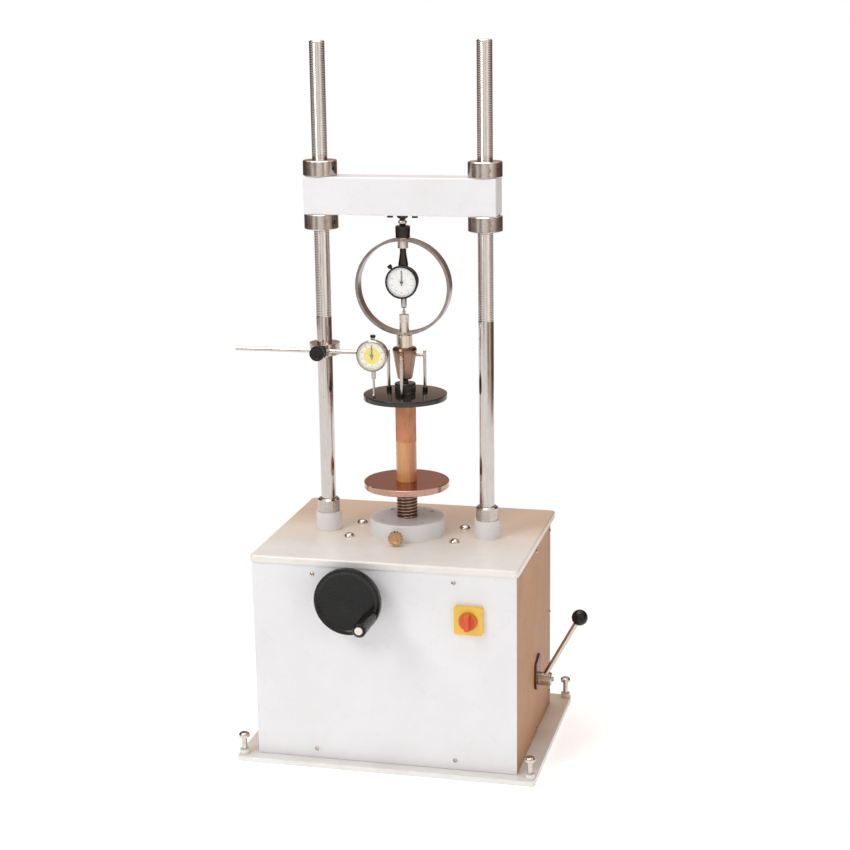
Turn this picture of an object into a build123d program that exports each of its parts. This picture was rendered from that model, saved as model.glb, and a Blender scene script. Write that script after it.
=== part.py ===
"""Unconfined compression tester: a two-column bench load frame on a drive cabinet.

Units are millimetres. The origin is on the loading axis, at the underside of the base plate.
+X runs to the right along the front, +Y to the back, and +Z up.
"""
import os
from math import cos, pi, radians, sin, tan

from build123d import *

# Clearances
running_clearance = 0.05
sliding_clearance = 0.15
seat_gap = 0.3
panel_gap = 0.5

# Base plate and its levelling screws
base_side_margin = 35
base_front_margin = 22.5
base_back_margin = 47
base_thickness = 10
base_corner_radius = 5
level_side_inset = 10
level_front_inset = 15
level_back_inset = 12
level_stem_radius = 5
level_stem_tip = 1
level_head_radius = 10
level_head_height = 8
level_head_rise = 41
level_head_rounding = 4.8
level_boss_radius = 9
level_boss_height = 9

# Cabinet
cabinet_half_width = 243
cabinet_front = -187.5
cabinet_back = 160
frame_height = 371.5
panel_thickness = 1.5
frame_angle_width = 26
frame_angle_wall = 3
panel_screw_head_radius = 4.2
panel_screw_head_height = 2.6
panel_screw_radius = 2.2
panel_screw_length = 8
panel_screw_shoulder = 1.3
panel_screw_flat_radius = 2.52
panel_hole_depth = 12
shaft_opening_gap = 2
lever_opening_gap = 1
front_screw_side_inset = 113
front_screw_low_inset = 17.5
front_screw_high_inset = 17
side_screw_y = 8
side_screw_low_inset = 6.5
side_screw_high_inset = 12
edge_screw_back_inset = 10
edge_screw_low_inset = 27.5
edge_screw_high_inset = 15
vent_slot_length = 90
vent_slot_width = 5
vent_slot_pitch = 14
vent_slot_count = 6
vent_drop = 131

# Top plate
top_side_overhang = 3.5
top_front_overhang = 4.5
top_back_overhang = 38
top_thickness = 12.5
top_edge_radius = 4
top_corner_radius = 8

# Columns and what holds them
column_spacing = 304
column_radius = 14
column_spare = 10.5
column_tip_chamfer = 2
sleeve_radius = 24
sleeve_height = 34
ring_nut_radius = 20.5
ring_nut_height = 26
ring_nut_chamfer = 3
column_tail = 4

# Crosshead
crosshead_travel = 200
beam_height = 68
beam_end_overhang = 25
beam_half_depth = 27
beam_edge_radius = 3
round_nut_radius = 31
round_nut_height = 28
round_nut_chamfer = 1.5
tommy_hole_radius = 3.5
tommy_hole_depth = 10
tommy_hole_turns = (-24, -64)

# Proving ring, its hanger and its dial gauge
ring_radius = 88
ring_thickness = 5
ring_half_width = 12
ring_pad_radius = 9.5
ring_pad_height = 1
ring_upper_boss_length = 13
ring_anvil_radius = 8.7
ring_anvil_gap = 13
hanger_length = 41.5
hanger_boss_radius = 13.5
hanger_boss_height = 21
hanger_neck_radius = 8
hanger_neck_taper = 2
hanger_collar_radius = 14
hanger_collar_height = 8
hanger_stud_depth = 26
hanger_screw_spacing = 46
hanger_screw_radius = 3
hanger_screw_head_radius = 5.5
hanger_screw_head_height = 6
hanger_screw_depth = 14
blind_hole_room = 1
ring_dial_rise = 9.5
ring_dial_radius = 27
ring_dial_bezel_radius = 30
ring_dial_back = 7
ring_dial_front = 18
ring_dial_bezel_depth = 6
ring_dial_lug_radius = 5.5
ring_dial_stem_radius = 5
ring_dial_stem_reach = 48
ring_dial_travel = 3
ring_hand_length = 21
ring_hand_tail = 7
ring_plunger_reach = 4
dial_recess_depth = 4
dial_bezel_chamfer = 1
dial_stem_root = 5
dial_bezel_wall = 3
dial_pivot_radius = 1.2
dial_hand_thickness = 0.5
dial_hand_half_width = 0.8
dial_hand_boss_radius = 3
dial_hand_lift = 1
dial_plunger_radius = 2
dial_tip_radius = 3
dial_tip_nose_radius = 1.2
dial_tip_nose = 3
dial_tip_length = 7
dial_tip_shoulder = 1

# Loading cone under the ring
spindle_radius = 14.5
spindle_length = 22
cone_top_radius = 22.5
cone_bottom_radius = 13.8
cone_length = 59.5
cone_gap = 7.5
cone_shoulder = 5
cone_shoulder_round = 2
cone_shoulder_round_drop = 1.5
cone_foot_round = 2
cone_screw_rise = 45
cone_screw_radius = 2.5
cone_screw_end_radius = 13
cone_screw_end = 40
cone_screw_bar_radius = 2.5
cone_screw_bar_half_length = 5.5

# Lift: ram, platen, specimen and loading disc
ram_radius = 19.5
ram_tail = 46
ram_key_half_width = 3
ram_key_depth = 3.5
ram_key_root = 2
keyway_land = 5
platen_radius = 79
platen_clearance = 57.5
platen_thickness = 12
platen_chamfer = 1
platen_spigot_radius = 10
platen_spigot_length = 6
specimen_radius = 19
specimen_base_height = 75
specimen_height = 80
disc_radius = 77
disc_thickness = 10
disc_edge_chamfer = 1
disc_hub_chamfer = 1.5
disc_hub_radius = 19.5
disc_hub_height = 20
disc_nose_radius = 6
disc_nose_flat_radius = 3.6
disc_nose_dome = 3
post_circle_radius = 39
post_first_angle = 34.4
post_count = 3
post_radius = 3
post_length = 76.5
post_foot_radius = 5
post_foot_height = 8

# Ram flange on the top plate
flange_radius = 70
flange_height = 32
flange_chamfer = 2
flange_spigot_wall = 10.5
flange_screw_circle_radius = 53
flange_screw_count = 4
flange_screw_first_angle = 45
flange_screw_radius = 3
flange_screw_head_radius = 5
flange_screw_head_height = 6
flange_screw_sink = 12
flange_screw_length = 28
oil_hole_radius = 3
oil_hole_distance = 42
oil_hole_depth = 8
lock_knob_rise = 15
lock_knob_radius = 13.5
lock_knob_thickness = 11
lock_knob_gap = 15
lock_knob_shank_radius = 4
lock_knob_shank_gap = 10.5
lock_knob_chamfer = 1

# Worm drive under the top plate
module = 3
wheel_teeth = 28
worm_pitch_radius = 12
drive_drop = 51.5
wheel_face_width = 16
tooth_addendum = 0.8
tooth_dedendum = 1.2
pressure_angle = 20
wheel_boss_wall = 10.5
wheel_boss_length = 14
tooth_slot_allowance = 0.7
worm_thread_allowance = 0.5
worm_thread_turns = 6
worm_addendum = 0.9
worm_shaft_radius = 8
worm_thread_root = 0.6
housing_wall = 9
housing_flange_thickness = 12
housing_bolt_margin = 13
housing_back = 60
wheel_room_gap = 5.6
worm_room_gap = 4.3
ram_room_gap = 1
bush_flange_thickness = 3
bush_flange_growth = 4
bush_wall = 4
gearbox_bolt_x = 100
gearbox_bolt_y = 45
gearbox_bolt_radius = 5
gearbox_bolt_dome_steps = ((10, 0), (9.2, 3.15), (6, 5.95), (0, 7))
gearbox_bolt_end = 3

# Handwheel on the front end of the worm shaft
handwheel_radius = 61
handwheel_gap = 5.5
handwheel_hub_length = 25
handwheel_rim_thickness = 14
handwheel_hub_radius = 15
handwheel_skin = 5
handwheel_dish = 4
handwheel_rim_width = 6
handwheel_rim_round = 2
crank_offset_x = 45.5
crank_offset_z = -19.5
crank_collar_radius = 8
crank_collar_length = 4
crank_pin_radius = 4
crank_end_radius = 7.2
crank_end_thickness = 4
crank_handle_radius = 12.5
crank_handle_length = 82
crank_handle_neck = 2.5
crank_handle_taper_length = 12
crank_handle_round = 3

# Motor, clutch and belt
motor_side_inset = 93
motor_rise = 64
motor_radius = 55
motor_front = -165
motor_back = -35
motor_bell = 12
motor_foot_half_width = 48
motor_foot_thickness = 8
motor_foot_inset = 10
motor_bell_step = 4
motor_rotor_end_gap = 2
motor_seat_overlap = 5
motor_shaft_radius = 10
motor_rotor_radius = 30
motor_air_gap = 1.5
sleeve_front_reach = 20
sleeve_groove_half_width = 4
sleeve_groove_radius = 12
sleeve_groove_wall = 5
clutch_flange_radius = 22
clutch_flange_bevel = 4
clutch_cone_reach = 13
clutch_cone_length = 12
clutch_cone_big_radius = 22
clutch_cone_small_radius = 18
clutch_release = 11.4
clutch_cup_wall = 7
clutch_cup_neck = 8
belt_setback = 3
belt_channel = 12
belt_thickness = 3
belt_gap = 0.25
belt_edge_gap = 0.5
pulley_flange_width = 1.5
pulley_flange_growth = 5
motor_pulley_radius = 30
worm_pulley_radius = 24
shaft_overhang = 4

# Clutch lever on the right side
lever_y = 5
lever_over_motor = 47
lever_shaft_radius = 7
lever_shaft_inner_reach = 18
lever_hub_radius = 12.5
lever_hub_length = 25.5
lever_hub_chamfer = 1.5
lever_cap_radius = 4
lever_cap_length = 4
lever_arm_radius = 5
lever_arm_root_rise = 8.7
lever_arm_tilt = 28.7
lever_arm_length = 143
lever_ball_radius = 15
lever_ball_socket = 10
index_plate_thickness = 4.5
index_plate_radius = 22
index_plate_top_rise = 34
index_plate_top_shift = 19
index_plate_top_radius = 8
fork_hub_radius = 12
fork_hub_half_length = 12
fork_half_thickness = 3.5
fork_prong_width = 6
fork_prong_gap = 1.5
fork_pin_radius = 3.5
fork_pin_clearance = 1

# Rotary isolator and power inlet
isolator_side_inset = 85.5
isolator_drop = 83.5
isolator_plate_size = 52
isolator_plate_thickness = 8
isolator_corner_radius = 4
isolator_neck_radius = 14.5
isolator_body_size = 44
isolator_body_depth = 42
isolator_knob_radius = 16.5
isolator_knob_base = 5
isolator_knob_height = 18
isolator_grip_half_width = 4.5
isolator_grip_inset = 1
isolator_stem_radius = 4
isolator_stem_depth = 10
inlet_side_inset = 93
inlet_rise = 60
inlet_half_width = 24
inlet_half_height = 12
inlet_flange_growth = 4
inlet_flange_thickness = 3
inlet_depth = 24
inlet_socket_depth = 16
inlet_wall = 3
inlet_pin_spacing = 14
inlet_pin_radius = 2
inlet_pin_setback = 2

# Displacement gauge with its rod and column clamp
clamp_below_rod = 10
clamp_height = 22
clamp_radius = 28
clamp_block_half_width = 14
clamp_block_cover = 14
rod_radius = 4
rod_y = -24
rod_rise = 78.5
rod_tail = 164
rod_past_gauge = 7
clamp_knob_radius = 14
clamp_knob_thickness = 13
clamp_knob_standoff = 3
clamp_knob_shank_radius = 3
clamp_knob_rounding = 2
gauge_x = -47
gauge_radius = 26
gauge_rise = 0.5
gauge_bezel_radius = 28.5
gauge_rod_gap = 12
gauge_depth = 24
gauge_bezel_depth = 7
gauge_plunger_setback = 10
gauge_stem_radius = 4
gauge_stem_length = 18
gauge_cap_length = 10.5
gauge_travel = 12
gauge_hand_length = 20
gauge_hand_tail = 7
gauge_lug_half_width = 7
gauge_lug_height = 8
gauge_lug_wall = 3
gauge_stem_root = 4
gauge_cap_wall = 3
gauge_plunger_top_gap = 1

# Places worked out from the sizes above, sideways and from front to back
column_x = column_spacing / 2
beam_half_length = column_x + beam_end_overhang
base_half_width = cabinet_half_width + base_side_margin
base_front = cabinet_front - base_front_margin
base_back = cabinet_back + base_back_margin
level_x = base_half_width - level_side_inset
level_front_y = base_front + level_front_inset
level_back_y = base_back - level_back_inset
top_half_width = cabinet_half_width + top_side_overhang
top_front = cabinet_front - top_front_overhang
top_back = cabinet_back + top_back_overhang
frame_half_width = cabinet_half_width - panel_thickness
frame_front = cabinet_front + panel_thickness
frame_back = cabinet_back - panel_thickness
front_screw_x = cabinet_half_width - front_screw_side_inset
edge_screw_y = cabinet_back - edge_screw_back_inset
wheel_pitch_radius = module * wheel_teeth / 2
wheel_tip_radius = wheel_pitch_radius + tooth_addendum * module
wheel_boss_radius = ram_radius + wheel_boss_wall
wheel_room_radius = wheel_tip_radius + wheel_room_gap
worm_room_radius = worm_pitch_radius + worm_addendum * module + worm_room_gap
worm_lead = module * pi
drive_x = -(wheel_pitch_radius + worm_pitch_radius)
housing_half_width = gearbox_bolt_x + housing_bolt_margin
housing_front = -housing_back
flange_spigot_radius = ram_radius + flange_spigot_wall
lock_knob_near = flange_radius + lock_knob_gap
lock_knob_face = lock_knob_near + lock_knob_thickness
lock_knob_shank_end = ram_radius + lock_knob_shank_gap
handwheel_hub_back = handwheel_gap - cabinet_front
handwheel_rim_back = handwheel_hub_back + handwheel_hub_length
handwheel_rim_front = handwheel_rim_back + handwheel_rim_thickness
crank_x = drive_x + crank_offset_x
sleeve_front = lever_y - sleeve_front_reach
clutch_cone_start = lever_y + clutch_cone_reach
clutch_cone_end = clutch_cone_start + clutch_cone_length
belt_front = housing_back + bush_flange_thickness + belt_setback
belt_back = belt_front + belt_channel
clutch_cup_back = belt_front - clutch_cup_neck
index_face = cabinet_half_width + index_plate_thickness
motor_x = cabinet_half_width - motor_side_inset
lever_shaft_inner_end = motor_x - lever_shaft_inner_reach
lever_hub_end = index_face + lever_hub_length
lever_arm_root = index_face + lever_arm_root_rise
isolator_x = cabinet_half_width - isolator_side_inset
inlet_x = inlet_side_inset - cabinet_half_width
gauge_back = rod_y - gauge_rod_gap
gauge_front = gauge_back - gauge_depth
gauge_plunger_y = gauge_back - gauge_plunger_setback
clamp_block_front = rod_y - clamp_block_cover
rod_left = -column_x - rod_tail
rod_right = gauge_x + rod_past_gauge

# Heights worked out from the sizes above, from the base plate up
level_head_top = base_thickness + level_head_rise
top_underside = base_thickness + frame_height
top_height = top_underside + top_thickness
panel_bottom = base_thickness + panel_gap
panel_top = top_underside - panel_gap
front_screw_heights = (panel_bottom + front_screw_low_inset, panel_top - front_screw_high_inset)
side_screw_heights = (panel_bottom + side_screw_low_inset, panel_top - side_screw_high_inset)
edge_screw_low = panel_bottom + edge_screw_low_inset
edge_screw_high = panel_top - edge_screw_high_inset
edge_screw_heights = (edge_screw_low, (edge_screw_low + edge_screw_high) / 2, edge_screw_high)
vent_height = panel_top - vent_drop
isolator_height = panel_top - isolator_drop
inlet_height = base_thickness + inlet_rise
motor_height = base_thickness + motor_rise
lever_height = motor_height + lever_over_motor
index_plate_top = lever_height + index_plate_top_rise
index_plate_top_y = lever_y + index_plate_top_shift
drive_height = top_underside - drive_drop
wheel_half = wheel_face_width / 2
wheel_bottom = drive_height - wheel_half - wheel_boss_length
wheel_top = drive_height + wheel_half + wheel_boss_length
crank_z = drive_height + crank_offset_z
ram_bottom = wheel_bottom - ram_tail
flange_top = top_height + flange_height
lock_knob_height = top_height + lock_knob_rise
sleeve_top = top_height + sleeve_height
platen_bottom = flange_top + platen_clearance
platen_top = platen_bottom + platen_thickness
specimen_joint = platen_top + specimen_base_height
disc_bottom = specimen_joint + specimen_height
disc_top = disc_bottom + disc_thickness
hub_top = disc_top + disc_hub_height
post_top = disc_top + post_length
rod_height = disc_top + rod_rise
clamp_bottom = rod_height - clamp_below_rod
gauge_height = rod_height + gauge_rise
gauge_cap_top = gauge_height + gauge_radius + gauge_cap_length
cone_bottom = hub_top + cone_gap
cone_screw_height = cone_bottom + cone_screw_rise
cone_top = cone_bottom + cone_length
spindle_top = cone_top + spindle_length
ring_bottom = spindle_top + ring_pad_height
ring_centre_height = ring_bottom + ring_radius
ring_top = ring_centre_height + ring_radius
ring_dial_height = ring_centre_height + ring_dial_rise
ring_dial_stem_bottom = ring_dial_height - ring_dial_stem_reach
ring_anvil_top = ring_dial_stem_bottom - ring_anvil_gap
hanger_bottom = ring_top + ring_pad_height
beam_bottom = hanger_bottom + hanger_length
beam_top = beam_bottom + beam_height
column_top = beam_top + round_nut_height + crosshead_travel + column_spare

os.makedirs("parts", exist_ok=True)


def keep(built, name):
    """Label a finished piece and write it."""
    built.part.label = name
    export_step(built.part, f"parts/{name}.step")


def upright(x, y):
    """A plane whose normal runs up through x, y."""
    return Plane(origin=(x, y, 0))


def facing_front(x, z):
    """A plane whose normal runs to the front (-Y) through x, z, so that heights are -y."""
    return Plane(origin=(x, 0, z), x_dir=(1, 0, 0), z_dir=(0, -1, 0))


def facing_back(x, z):
    """A plane whose normal runs to the back (+Y) through x, z, so that heights are y."""
    return Plane(origin=(x, 0, z), x_dir=(-1, 0, 0), z_dir=(0, 1, 0))


def facing_right(y, z):
    """A plane whose normal runs to the right (+X) through y, z, so that heights are x."""
    return Plane(origin=(0, y, z), x_dir=(0, 1, 0), z_dir=(1, 0, 0))


def turned(plane, points, mode=Mode.ADD):
    """Turn an outline of (radius, height) points about the plane's normal."""
    side = Plane(origin=plane.origin, x_dir=plane.x_dir, z_dir=-plane.y_dir)
    with BuildSketch(side) as outline:
        with BuildLine():
            Polyline(*points, close=True)
        make_face()
    revolve(outline.sketch, axis=Axis(plane.origin, plane.z_dir), mode=mode)


def tube(plane, inner, outer, low, high, mode=Mode.ADD):
    """A plain ring about the plane's normal, or a cylinder where inner is 0."""
    turned(plane, [(inner, low), (outer, low), (outer, high), (inner, high)], mode)


def drill(plane, radius, low, high):
    """A round hole about the plane's normal."""
    tube(plane, 0, radius, low, high, Mode.SUBTRACT)


def block(low, high, mode=Mode.ADD):
    """A box between two opposite corners."""
    size = [b - a for a, b in zip(low, high)]
    with Locations(tuple((a + b) / 2 for a, b in zip(low, high))):
        Box(*size, mode=mode)


# Base plate with a welded boss at each levelling screw
level_places = [(x, y) for x in (-level_x, level_x) for y in (level_front_y, level_back_y)]
with BuildPart() as base_plate:
    block((-base_half_width, base_front, 0), (base_half_width, base_back, base_thickness))
    fillet(base_plate.edges().filter_by(Axis.Z), base_corner_radius)
    for x, y in level_places:
        tube(upright(x, y), 0, level_boss_radius, base_thickness, base_thickness + level_boss_height)
        drill(upright(x, y), level_stem_radius + running_clearance, -1, level_head_top)
keep(base_plate, "base_plate")

# Levelling screws: a domed head on a plain stem
level_names = ("rear_left", "front_left", "front_right", "rear_right")
level_corners = (
    (-level_x, level_back_y),
    (-level_x, level_front_y),
    (level_x, level_front_y),
    (level_x, level_back_y),
)
for name, (x, y) in zip(level_names, level_corners):
    head_bottom = level_head_top - level_head_height
    with BuildPart() as levelling_screw:
        tube(upright(x, y), 0, level_stem_radius, level_stem_tip, head_bottom)
        tube(upright(x, y), 0, level_head_radius, head_bottom, level_head_top)
        fillet(levelling_screw.edges().sort_by(Axis.Z)[-1], level_head_rounding)
    keep(levelling_screw, f"{name}_levelling_screw")

# Welded angle frame inside the cabinet
frame_low = (-frame_half_width, frame_front, base_thickness)
frame_high = (frame_half_width, frame_back, top_underside)
screw_hole_radius = panel_screw_radius + running_clearance
front_screw_places = [(x, z) for x in (-front_screw_x, front_screw_x) for z in front_screw_heights]
side_screw_places = [(side_screw_y, z) for z in side_screw_heights]
side_screw_places += [(edge_screw_y, z) for z in edge_screw_heights]


def inset(low, high, distances):
    """The corners of a box, moved inwards along each axis."""
    inner_low = [a + d for a, d in zip(low, distances)]
    inner_high = [b - d for b, d in zip(high, distances)]
    return inner_low, inner_high


def drill_panel_screws():
    """Holes for every panel screw, through the panels and the frame behind them."""
    for x, z in front_screw_places:
        drill(facing_front(x, z), screw_hole_radius, -cabinet_front - panel_hole_depth, 1 - cabinet_front)
        drill(facing_back(x, z), screw_hole_radius, cabinet_back - panel_hole_depth, cabinet_back + 1)
    for y, z in side_screw_places:
        near = cabinet_half_width - panel_hole_depth
        drill(facing_right(y, z), screw_hole_radius, near, cabinet_half_width + 1)
        drill(facing_right(y, z), screw_hole_radius, -cabinet_half_width - 1, -near)


with BuildPart() as cabinet_frame:
    wall = frame_angle_wall
    leg = frame_angle_width
    block(frame_low, frame_high)
    block(*inset(frame_low, frame_high, (wall, wall, wall)), Mode.SUBTRACT)
    block(*inset(frame_low, frame_high, (leg, leg, -wall)), Mode.SUBTRACT)
    block(*inset(frame_low, frame_high, (-wall, leg, leg)), Mode.SUBTRACT)
    block(*inset(frame_low, frame_high, (leg, -wall, leg)), Mode.SUBTRACT)
    drill_panel_screws()
keep(cabinet_frame, "cabinet_frame")

# Cabinet panels: full-width front and rear, with the sides between them
with BuildPart() as front_panel:
    block((-cabinet_half_width, cabinet_front, panel_bottom), (cabinet_half_width, frame_front, panel_top))
    drill_panel_screws()
    drill(facing_front(drive_x, drive_height), worm_shaft_radius + shaft_opening_gap, 0, 1 - cabinet_front)
    drill(facing_front(isolator_x, isolator_height), isolator_neck_radius + seat_gap, 0, 1 - cabinet_front)
keep(front_panel, "front_panel")

with BuildPart() as rear_panel:
    block((-cabinet_half_width, frame_back, panel_bottom), (cabinet_half_width, cabinet_back, panel_top))
    drill_panel_screws()
    block(
        (inlet_x - inlet_half_width - seat_gap, frame_back - 1, inlet_height - inlet_half_height - seat_gap),
        (inlet_x + inlet_half_width + seat_gap, cabinet_back + 1, inlet_height + inlet_half_height + seat_gap),
        Mode.SUBTRACT,
    )
    with BuildSketch(facing_back(0, vent_height)):
        with GridLocations(0, vent_slot_pitch, 1, vent_slot_count):
            SlotOverall(vent_slot_length, vent_slot_width)
    extrude(amount=cabinet_back + 1, mode=Mode.SUBTRACT)
keep(rear_panel, "rear_panel")

with BuildPart() as left_panel:
    block((-cabinet_half_width, frame_front, panel_bottom), (-frame_half_width, frame_back, panel_top))
    drill_panel_screws()
keep(left_panel, "left_panel")

with BuildPart() as right_panel:
    block((frame_half_width, frame_front, panel_bottom), (cabinet_half_width, frame_back, panel_top))
    drill_panel_screws()
    lever_opening = lever_shaft_radius + lever_opening_gap
    drill(facing_right(lever_y, lever_height), lever_opening, 0, cabinet_half_width + 1)
keep(right_panel, "right_panel")

# Panel screws: one loose solid each
screw_outline = [
    (0, -panel_screw_length),
    (panel_screw_radius, -panel_screw_length),
    (panel_screw_radius, 0),
    (panel_screw_head_radius, 0),
    (panel_screw_head_radius, panel_screw_shoulder),
    (panel_screw_flat_radius, panel_screw_head_height),
    (0, panel_screw_head_height),
]
screw_planes = []
for x, z in front_screw_places:
    screw_planes.append(facing_front(x, z).offset(-cabinet_front))
    screw_planes.append(facing_back(x, z).offset(cabinet_back))
for y, z in side_screw_places:
    screw_planes.append(facing_right(y, z).offset(cabinet_half_width))
    left = Plane(origin=(-cabinet_half_width, y, z), x_dir=(0, -1, 0), z_dir=(-1, 0, 0))
    screw_planes.append(left)
with BuildPart() as panel_screws:
    for plane in screw_planes:
        turned(plane, screw_outline)
keep(panel_screws, "panel_screws")

# Top plate: a thick slab with a rounded upper edge
gearbox_bolt_rows = (-gearbox_bolt_y, gearbox_bolt_y)
gearbox_bolt_places = [(x, y) for x in (-gearbox_bolt_x, gearbox_bolt_x) for y in gearbox_bolt_rows]
with BuildPart() as top_plate:
    block((-top_half_width, top_front, top_underside), (top_half_width, top_back, top_height))
    fillet(top_plate.edges().filter_by(Axis.Z), top_corner_radius)
    fillet(top_plate.faces().sort_by(Axis.Z)[-1].edges(), top_edge_radius)
    drill(upright(0, 0), flange_spigot_radius + running_clearance, 0, top_height + 1)
    for side in (-1, 1):
        drill(upright(side * column_x, 0), column_radius + running_clearance, 0, top_height + 1)
    for x, y in gearbox_bolt_places:
        drill(upright(x, y), gearbox_bolt_radius + running_clearance, 0, top_height + 1)
    with PolarLocations(flange_screw_circle_radius, flange_screw_count, start_angle=flange_screw_first_angle):
        Cylinder(flange_screw_radius + running_clearance, 2 * top_height + 2, mode=Mode.SUBTRACT)
keep(top_plate, "top_plate")

# Columns, their white sleeves and four ring nuts, above and below the top plate
with BuildPart() as columns:
    column_foot = top_underside - ring_nut_height - column_tail
    for side in (-1, 1):
        tip = column_radius - column_tip_chamfer
        outline = [(0, column_foot), (column_radius, column_foot)]
        outline += [(column_radius, column_top - column_tip_chamfer), (tip, column_top), (0, column_top)]
        turned(upright(side * column_x, 0), outline)
keep(columns, "columns")

with BuildPart() as column_sleeves:
    for side in (-1, 1):
        tube(
            upright(side * column_x, 0),
            column_radius + running_clearance,
            sleeve_radius,
            top_height,
            sleeve_top,
        )
keep(column_sleeves, "column_sleeves")


def ring_nut(plane, seat, away):
    """A ring nut on a seat height, with its chamfer on the side that faces away."""
    bore = column_radius + running_clearance
    far = seat + away * ring_nut_height
    shoulder = far - away * ring_nut_chamfer
    edge = ring_nut_radius - ring_nut_chamfer
    outline = [(bore, seat), (ring_nut_radius, seat), (ring_nut_radius, shoulder), (edge, far), (bore, far)]
    turned(plane, outline)


with BuildPart() as column_ring_nuts:
    for side in (-1, 1):
        ring_nut(upright(side * column_x, 0), sleeve_top, 1)
        ring_nut(upright(side * column_x, 0), top_underside, -1)
keep(column_ring_nuts, "column_ring_nuts")

# Crosshead beam and the round nuts above and below it on each column
with BuildPart() as crosshead_beam:
    block((-beam_half_length, -beam_half_depth, beam_bottom), (beam_half_length, beam_half_depth, beam_top))
    fillet(crosshead_beam.edges(), beam_edge_radius)
    for side in (-1, 1):
        drill(upright(side * column_x, 0), column_radius + running_clearance, beam_bottom - 1, beam_top + 1)
    stud_hole_top = beam_bottom + hanger_stud_depth
    drill(upright(0, 0), hanger_neck_radius + running_clearance, beam_bottom - 1, stud_hole_top)
    for side in (-1, 1):
        plane = upright(side * hanger_screw_spacing / 2, 0)
        drill(plane, hanger_screw_radius + running_clearance, beam_bottom - 1, beam_bottom + hanger_screw_depth)
keep(crosshead_beam, "crosshead_beam")


def round_nut(x, low):
    """A round nut on a column, with one blind hole for a tommy bar on each side."""
    bore = column_radius + running_clearance
    high = low + round_nut_height
    edge = round_nut_radius - round_nut_chamfer
    outline = [(bore, low), (edge, low), (round_nut_radius, low + round_nut_chamfer)]
    outline += [(round_nut_radius, high - round_nut_chamfer), (edge, high), (bore, high)]
    turned(upright(x, 0), outline)
    turn = tommy_hole_turns[0] if x < 0 else tommy_hole_turns[1]
    for angle in (turn, turn + 180):
        out = (cos(radians(angle)), sin(radians(angle)), 0)
        plane = Plane(origin=(x, 0, low + round_nut_height / 2), x_dir=(0, 0, 1), z_dir=out)
        drill(plane, tommy_hole_radius, round_nut_radius - tommy_hole_depth, round_nut_radius + 1)


for name, x in (("left_crosshead_nuts", -column_x), ("right_crosshead_nuts", column_x)):
    with BuildPart() as crosshead_nuts:
        round_nut(x, beam_bottom - round_nut_height)
        round_nut(x, beam_top)
    keep(crosshead_nuts, name)

# Hanger under the beam: collar, neck and boss, with two screws beside it
with BuildPart() as ring_hanger:
    collar_bottom = beam_bottom - hanger_collar_height
    turned(
        upright(0, 0),
        [
            (0, hanger_bottom),
            (hanger_boss_radius, hanger_bottom),
            (hanger_boss_radius, hanger_bottom + hanger_boss_height),
            (hanger_neck_radius, hanger_bottom + hanger_boss_height + hanger_neck_taper),
            (hanger_neck_radius, collar_bottom),
            (hanger_collar_radius, collar_bottom),
            (hanger_collar_radius, beam_bottom),
            (hanger_neck_radius, beam_bottom),
            (hanger_neck_radius, beam_bottom + hanger_stud_depth - blind_hole_room),
            (0, beam_bottom + hanger_stud_depth - blind_hole_room),
        ],
    )
    for side in (-1, 1):
        plane = upright(side * hanger_screw_spacing / 2, 0)
        tube(plane, 0, hanger_screw_radius, beam_bottom, beam_bottom + hanger_screw_depth - blind_hole_room)
        tube(plane, 0, hanger_screw_head_radius, beam_bottom - hanger_screw_head_height, beam_bottom)
keep(ring_hanger, "ring_hanger")

# Proving ring with its upper boss, seat pads and lower anvil
with BuildPart() as proving_ring:
    ring_inner_radius = ring_radius - ring_thickness
    ring_plane = facing_front(0, ring_centre_height)
    tube(ring_plane, ring_inner_radius, ring_radius, -ring_half_width, ring_half_width)
    inner = ring_radius - ring_thickness / 2
    tube(upright(0, 0), 0, ring_pad_radius, ring_centre_height + inner, hanger_bottom)
    tube(upright(0, 0), 0, ring_pad_radius, spindle_top, ring_centre_height - inner)
    boss_bottom = ring_centre_height + ring_radius - ring_thickness - ring_upper_boss_length
    tube(upright(0, 0), 0, ring_pad_radius, boss_bottom, ring_centre_height + inner)
    tube(upright(0, 0), 0, ring_anvil_radius, ring_centre_height - inner, ring_anvil_top)
keep(proving_ring, "proving_ring")


def dial_case(plane, case_radius, bezel_radius, back, front, bezel_depth):
    """A round gauge case with a deeper bezel, an open face recess and a pivot for the hand."""
    face = front - dial_recess_depth
    recess = bezel_radius - dial_bezel_wall
    turned(
        plane,
        [
            (0, back),
            (case_radius, back),
            (case_radius, front - bezel_depth),
            (bezel_radius, front - bezel_depth),
            (bezel_radius, front - dial_bezel_chamfer),
            (bezel_radius - dial_bezel_chamfer, front),
            (recess, front),
            (recess, face),
            (dial_pivot_radius, face),
            (dial_pivot_radius, front - dial_bezel_chamfer),
            (0, front - dial_bezel_chamfer),
        ],
    )


def dial_hand(plane, front, length, tail):
    """A straight hand with a round boss, lying over the dial face and pointing up."""
    level = front - dial_recess_depth + dial_hand_lift
    with BuildSketch(plane.offset(level)) as outline:
        Circle(dial_hand_boss_radius)
        with Locations((0, (length - tail) / 2)):
            Rectangle(2 * dial_hand_half_width, length + tail)
        Circle(dial_pivot_radius + running_clearance, mode=Mode.SUBTRACT)
    extrude(outline.sketch, amount=dial_hand_thickness)


def dial_plunger(plane, bottom, top):
    """A gauge's spindle with a thicker rounded tip at its lower end."""
    tip_top = bottom + dial_tip_length
    turned(
        plane,
        [
            (0, bottom),
            (dial_tip_nose_radius, bottom),
            (dial_tip_radius, bottom + dial_tip_nose),
            (dial_tip_radius, tip_top - dial_tip_shoulder),
            (dial_plunger_radius, tip_top),
            (dial_plunger_radius, top),
            (0, top),
        ],
    )


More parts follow.
